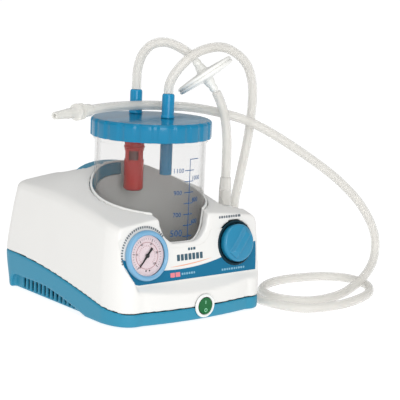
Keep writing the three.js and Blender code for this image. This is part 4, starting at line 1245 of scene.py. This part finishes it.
def makeLid(s):
    profile = [
        (0, 187.4), (57.9, 187.4), (57.9, 173), (59.6, 173), (60.3, 173.25), (60.6, 173.9), (60.6, 187.6),
        (60.45, 188.7), (59.9, 189.8), (59.0, 190.6), (57.9, 190.95), (56.6, 191), (30, 191), (0, 191),
    ]
    count = s["grooves"] * s["per"]
    points, faces, rings = [], [], []
    for r, z in profile:
        rings.append(len(points))
        if r == 0:
            points.append(spot(jarAt.x, jarAt.y, z))
            continue
        for k in range(count):
            share = (k / s["per"]) % 1
            near = abs(share - 0.5) / s["share"]
            sunk = s["deep"] * (1 - near**2) ** 0.6 if near < 1 and r > s["skirt"] else 0
            a = 2 * math.pi * k / count
            rr = r - sunk * min(1, (r - s["skirt"]) / 1.6)
            points.append(spot(jarAt.x + rr * math.cos(a), jarAt.y + rr * math.sin(a), z))
    for i, (a, b) in enumerate(zip(rings, rings[1:])):
        for k in range(count):
            n = (k + 1) % count
            if profile[i][0] == 0:
                faces.append((a, b + n, b + k))
            elif profile[i + 1][0] == 0:
                faces.append((a + k, a + n, b))
            else:
                faces.append((a + k, a + n, b + n, b + k))
    lid = meshPiece("jar_cap", points, faces, None, 40)
    carve(lid, [rod("portHole", 4.6, at, (0, 0, 1), 180, 200) for at in (patientPort, vacuumPort)])
    owned(refinish(smoothed(lid, 40), finishes["lid"]), "lid_set", "lid_blue", "jar_lid")


makeLid(lidSet)


def onPort(name, profile, at, finish, segments=64, soften=0.4):
    return lathePiece(name, profile, spot(*at), (0, 0, 1), finish, segments, soften)


portProfile = [
    (2.6, 182), (4.3, 182), (4.3, 191.3), (7, 191.3), (7, 193), (6.6, 193.8), (6.25, 194.6),
    (6.25, 213), (5.9, 214.6), (5, 215.5), (2.6, 215.5), (2.6, 182),
]
for name, node, at in (
    ("patient_spout", "patient_port", patientPort), ("vacuum_spout", "vacuum_port", vacuumPort),
):
    owned(onPort(name, portProfile, at, finishes["port"]), "lid_set", "port_blue", node)
pipeProfile = [(4.9, 134), (6.2, 134), (6.2, 185.7), (4.9, 185.7), (4.9, 134)]
owned(onPort("inner_pipe", pipeProfile, patientPort, finishes["pipe"]), "lid_set", "lid_blue", "dip_pipe")


def makeCage():
    profile = [
        (0, 111.5), (8.4, 111.5), (10.2, 113.6), (10.2, 155), (10.9, 156), (10.9, 157), (10.2, 158),
        (10.2, 170), (10.9, 171), (10.9, 172), (10.2, 173), (10.2, 185.7), (8.7, 185.7), (8.7, 114.6),
        (7.4, 113), (0, 113),
    ]
    cage = onPort("float_guard", profile, vacuumPort, None, 96, 0.5)
    tools = [rod("cageBore", 2.5, vacuumPort, (0, 0, 1), 100, 130)]
    for turn in (0.89, 0.89 + math.pi / 2):
        slot = upright("cageWindow", block((-20, -4.8), (20, 4.8)), 143.5, 153)
        middle = Matrix.Translation(spot(vacuumPort.x, vacuumPort.y, 0))
        slot.data.transform(middle @ Matrix.Rotation(turn, 4, "Z") @ Matrix.Translation(-spot(0, 0, 0)))
        tools.append(slot)
    for tool in tools:
        carve(cage, [tool])
    owned(refinish(smoothed(cage, 32), finishes["cage"]), "lid_set", "cage_red", "float_cage")
    sleeve = [(8.1, 131), (8.5, 131), (8.5, 184), (8.1, 184), (8.1, 131)]  # the float runs inside it
    owned(onPort("float_guide", sleeve, vacuumPort, finishes["stem"], 96, 0), "lid_set", "cage_red")
    radius, rings = 7.8, 24
    turns = [math.pi * k / rings for k in range(rings + 1)]
    meridian = [(radius * math.sin(a), -radius * math.cos(a)) for a in turns]
    ballAt = spot(vacuumPort.x, vacuumPort.y, 121.1)
    ball = lathePiece("float_sphere", meridian, ballAt, (0, 0, 1), finishes["float"], 48)
    owned(ball, "float", "float_white", "float_ball")


makeCage()
print("lid made")

# nozzle, and the frame's own pieces that need no new shape
nozzleProfile = [
    (1.6, 86), (3.2, 86), (3.9, 88.5), (3.9, 98.3), (8, 98.3), (8, 100), (5.2, 100.6), (3.6, 101.5),
    (4.2, 104), (3.2, 109), (2.9, 115), (1.6, 115), (1.6, 86),
]
spigot = onPort("nozzle_spigot", nozzleProfile, nozzleAt, finishes["film"], 48, 0.3)
owned(spigot, "housing", "shell_white", "inlet_nozzle")

kept = {
    "gauge_case": "steel", "bourdon_tube": "brass", "regulator_stem": "brass",
    "regulator_valve": "brass", "switch_body": "black", "mains_inlet": "black", "fuse_drawer": "black",
    "motor_can": "steel", "motor_end_cap": "black", "motor_shaft": "steel", "cooling_fan": "black",
    "motor_cradle": "black", "pump_case": "cast", "pump_cylinder": "steel", "pump_head": "cast",
    "pump_piston": "cast", "exhaust_silencer": "black", "pump_tube": "hose", "silencer_tube": "hose",
    "gauge_tube": "hose", "lid_seal": "seal", "foot_1": "rubber", "foot_2": "rubber", "foot_3": "rubber",
    "foot_4": "rubber", "case_screw_1": "steel", "case_screw_2": "steel", "case_screw_3": "steel",
    "case_screw_4": "steel",
}
for node, key in kept.items():
    refinish(bpy.data.objects[node], finishes[key])
print("frame pieces finished")

# stage and light
stageSet = {"size": 24, "floor": 0.3, "glow": 0.85, "world": 0.5, "seen": 1.05}
lampSet = {  # where each lamp hangs, what it aims at, its side in metres and its power in watts
    "keyLight": ((-0.5, -0.7, 1.9), (0, 0, 0.08), 1.6, 9),
    "frontLight": ((-0.75, -1.65, 0.62), (0, 0, 0.1), 1.1, 15),
    "sideLight": ((-1.9, 0.2, 0.8), (0, 0, 0.08), 1.2, 3),
}


def makeStage(s):
    half = s["size"] / 2
    finish, tree, shader = newFinish("floorPale")
    shader.inputs["Base Color"].default_value = (s["floor"], s["floor"], s["floor"], 1)
    shader.inputs["Roughness"].default_value = 0.9
    shader.inputs["Emission Color"].default_value = (1, 1, 1, 1)
    shader.inputs["Emission Strength"].default_value = s["glow"]
    corners = [(-half, -half, 0), (half, -half, 0), (half, half, 0), (-half, half, 0)]
    floor = meshPiece("floor", [Vector(c) for c in corners], [(0, 1, 2, 3)], finish)
    world = bpy.data.worlds.new("studio")
    world.use_nodes = True
    tree = world.node_tree
    glow = tree.nodes["Background"]
    glow.inputs["Color"].default_value = (1, 1, 1, 1)
    seen = tree.nodes.new("ShaderNodeLightPath")
    level = tree.nodes.new("ShaderNodeMapRange")  # the backdrop is white where it is seen, softer as light
    level.inputs["To Min"].default_value = s["world"]
    level.inputs["To Max"].default_value = s["seen"]
    wire(tree, seen.outputs["Is Camera Ray"], level.inputs["Value"])
    wire(tree, level.outputs["Result"], glow.inputs["Strength"])
    scene.world = world


def areaLight(name, at, aim, size, power):
    data = bpy.data.lights.new(name, "AREA")
    data.energy = power
    data.size = size
    lamp = bpy.data.objects.new(name, data)
    scene.collection.objects.link(lamp)
    lamp.location = at
    lamp.rotation_mode = "QUATERNION"
    lamp.rotation_quaternion = (Vector(aim) - Vector(at)).to_track_quat("-Z", "Y")


makeStage(stageSet)
for name, (at, aim, size, power) in lampSet.items():
    areaLight(name, at, aim, size, power)
print("stage lit")
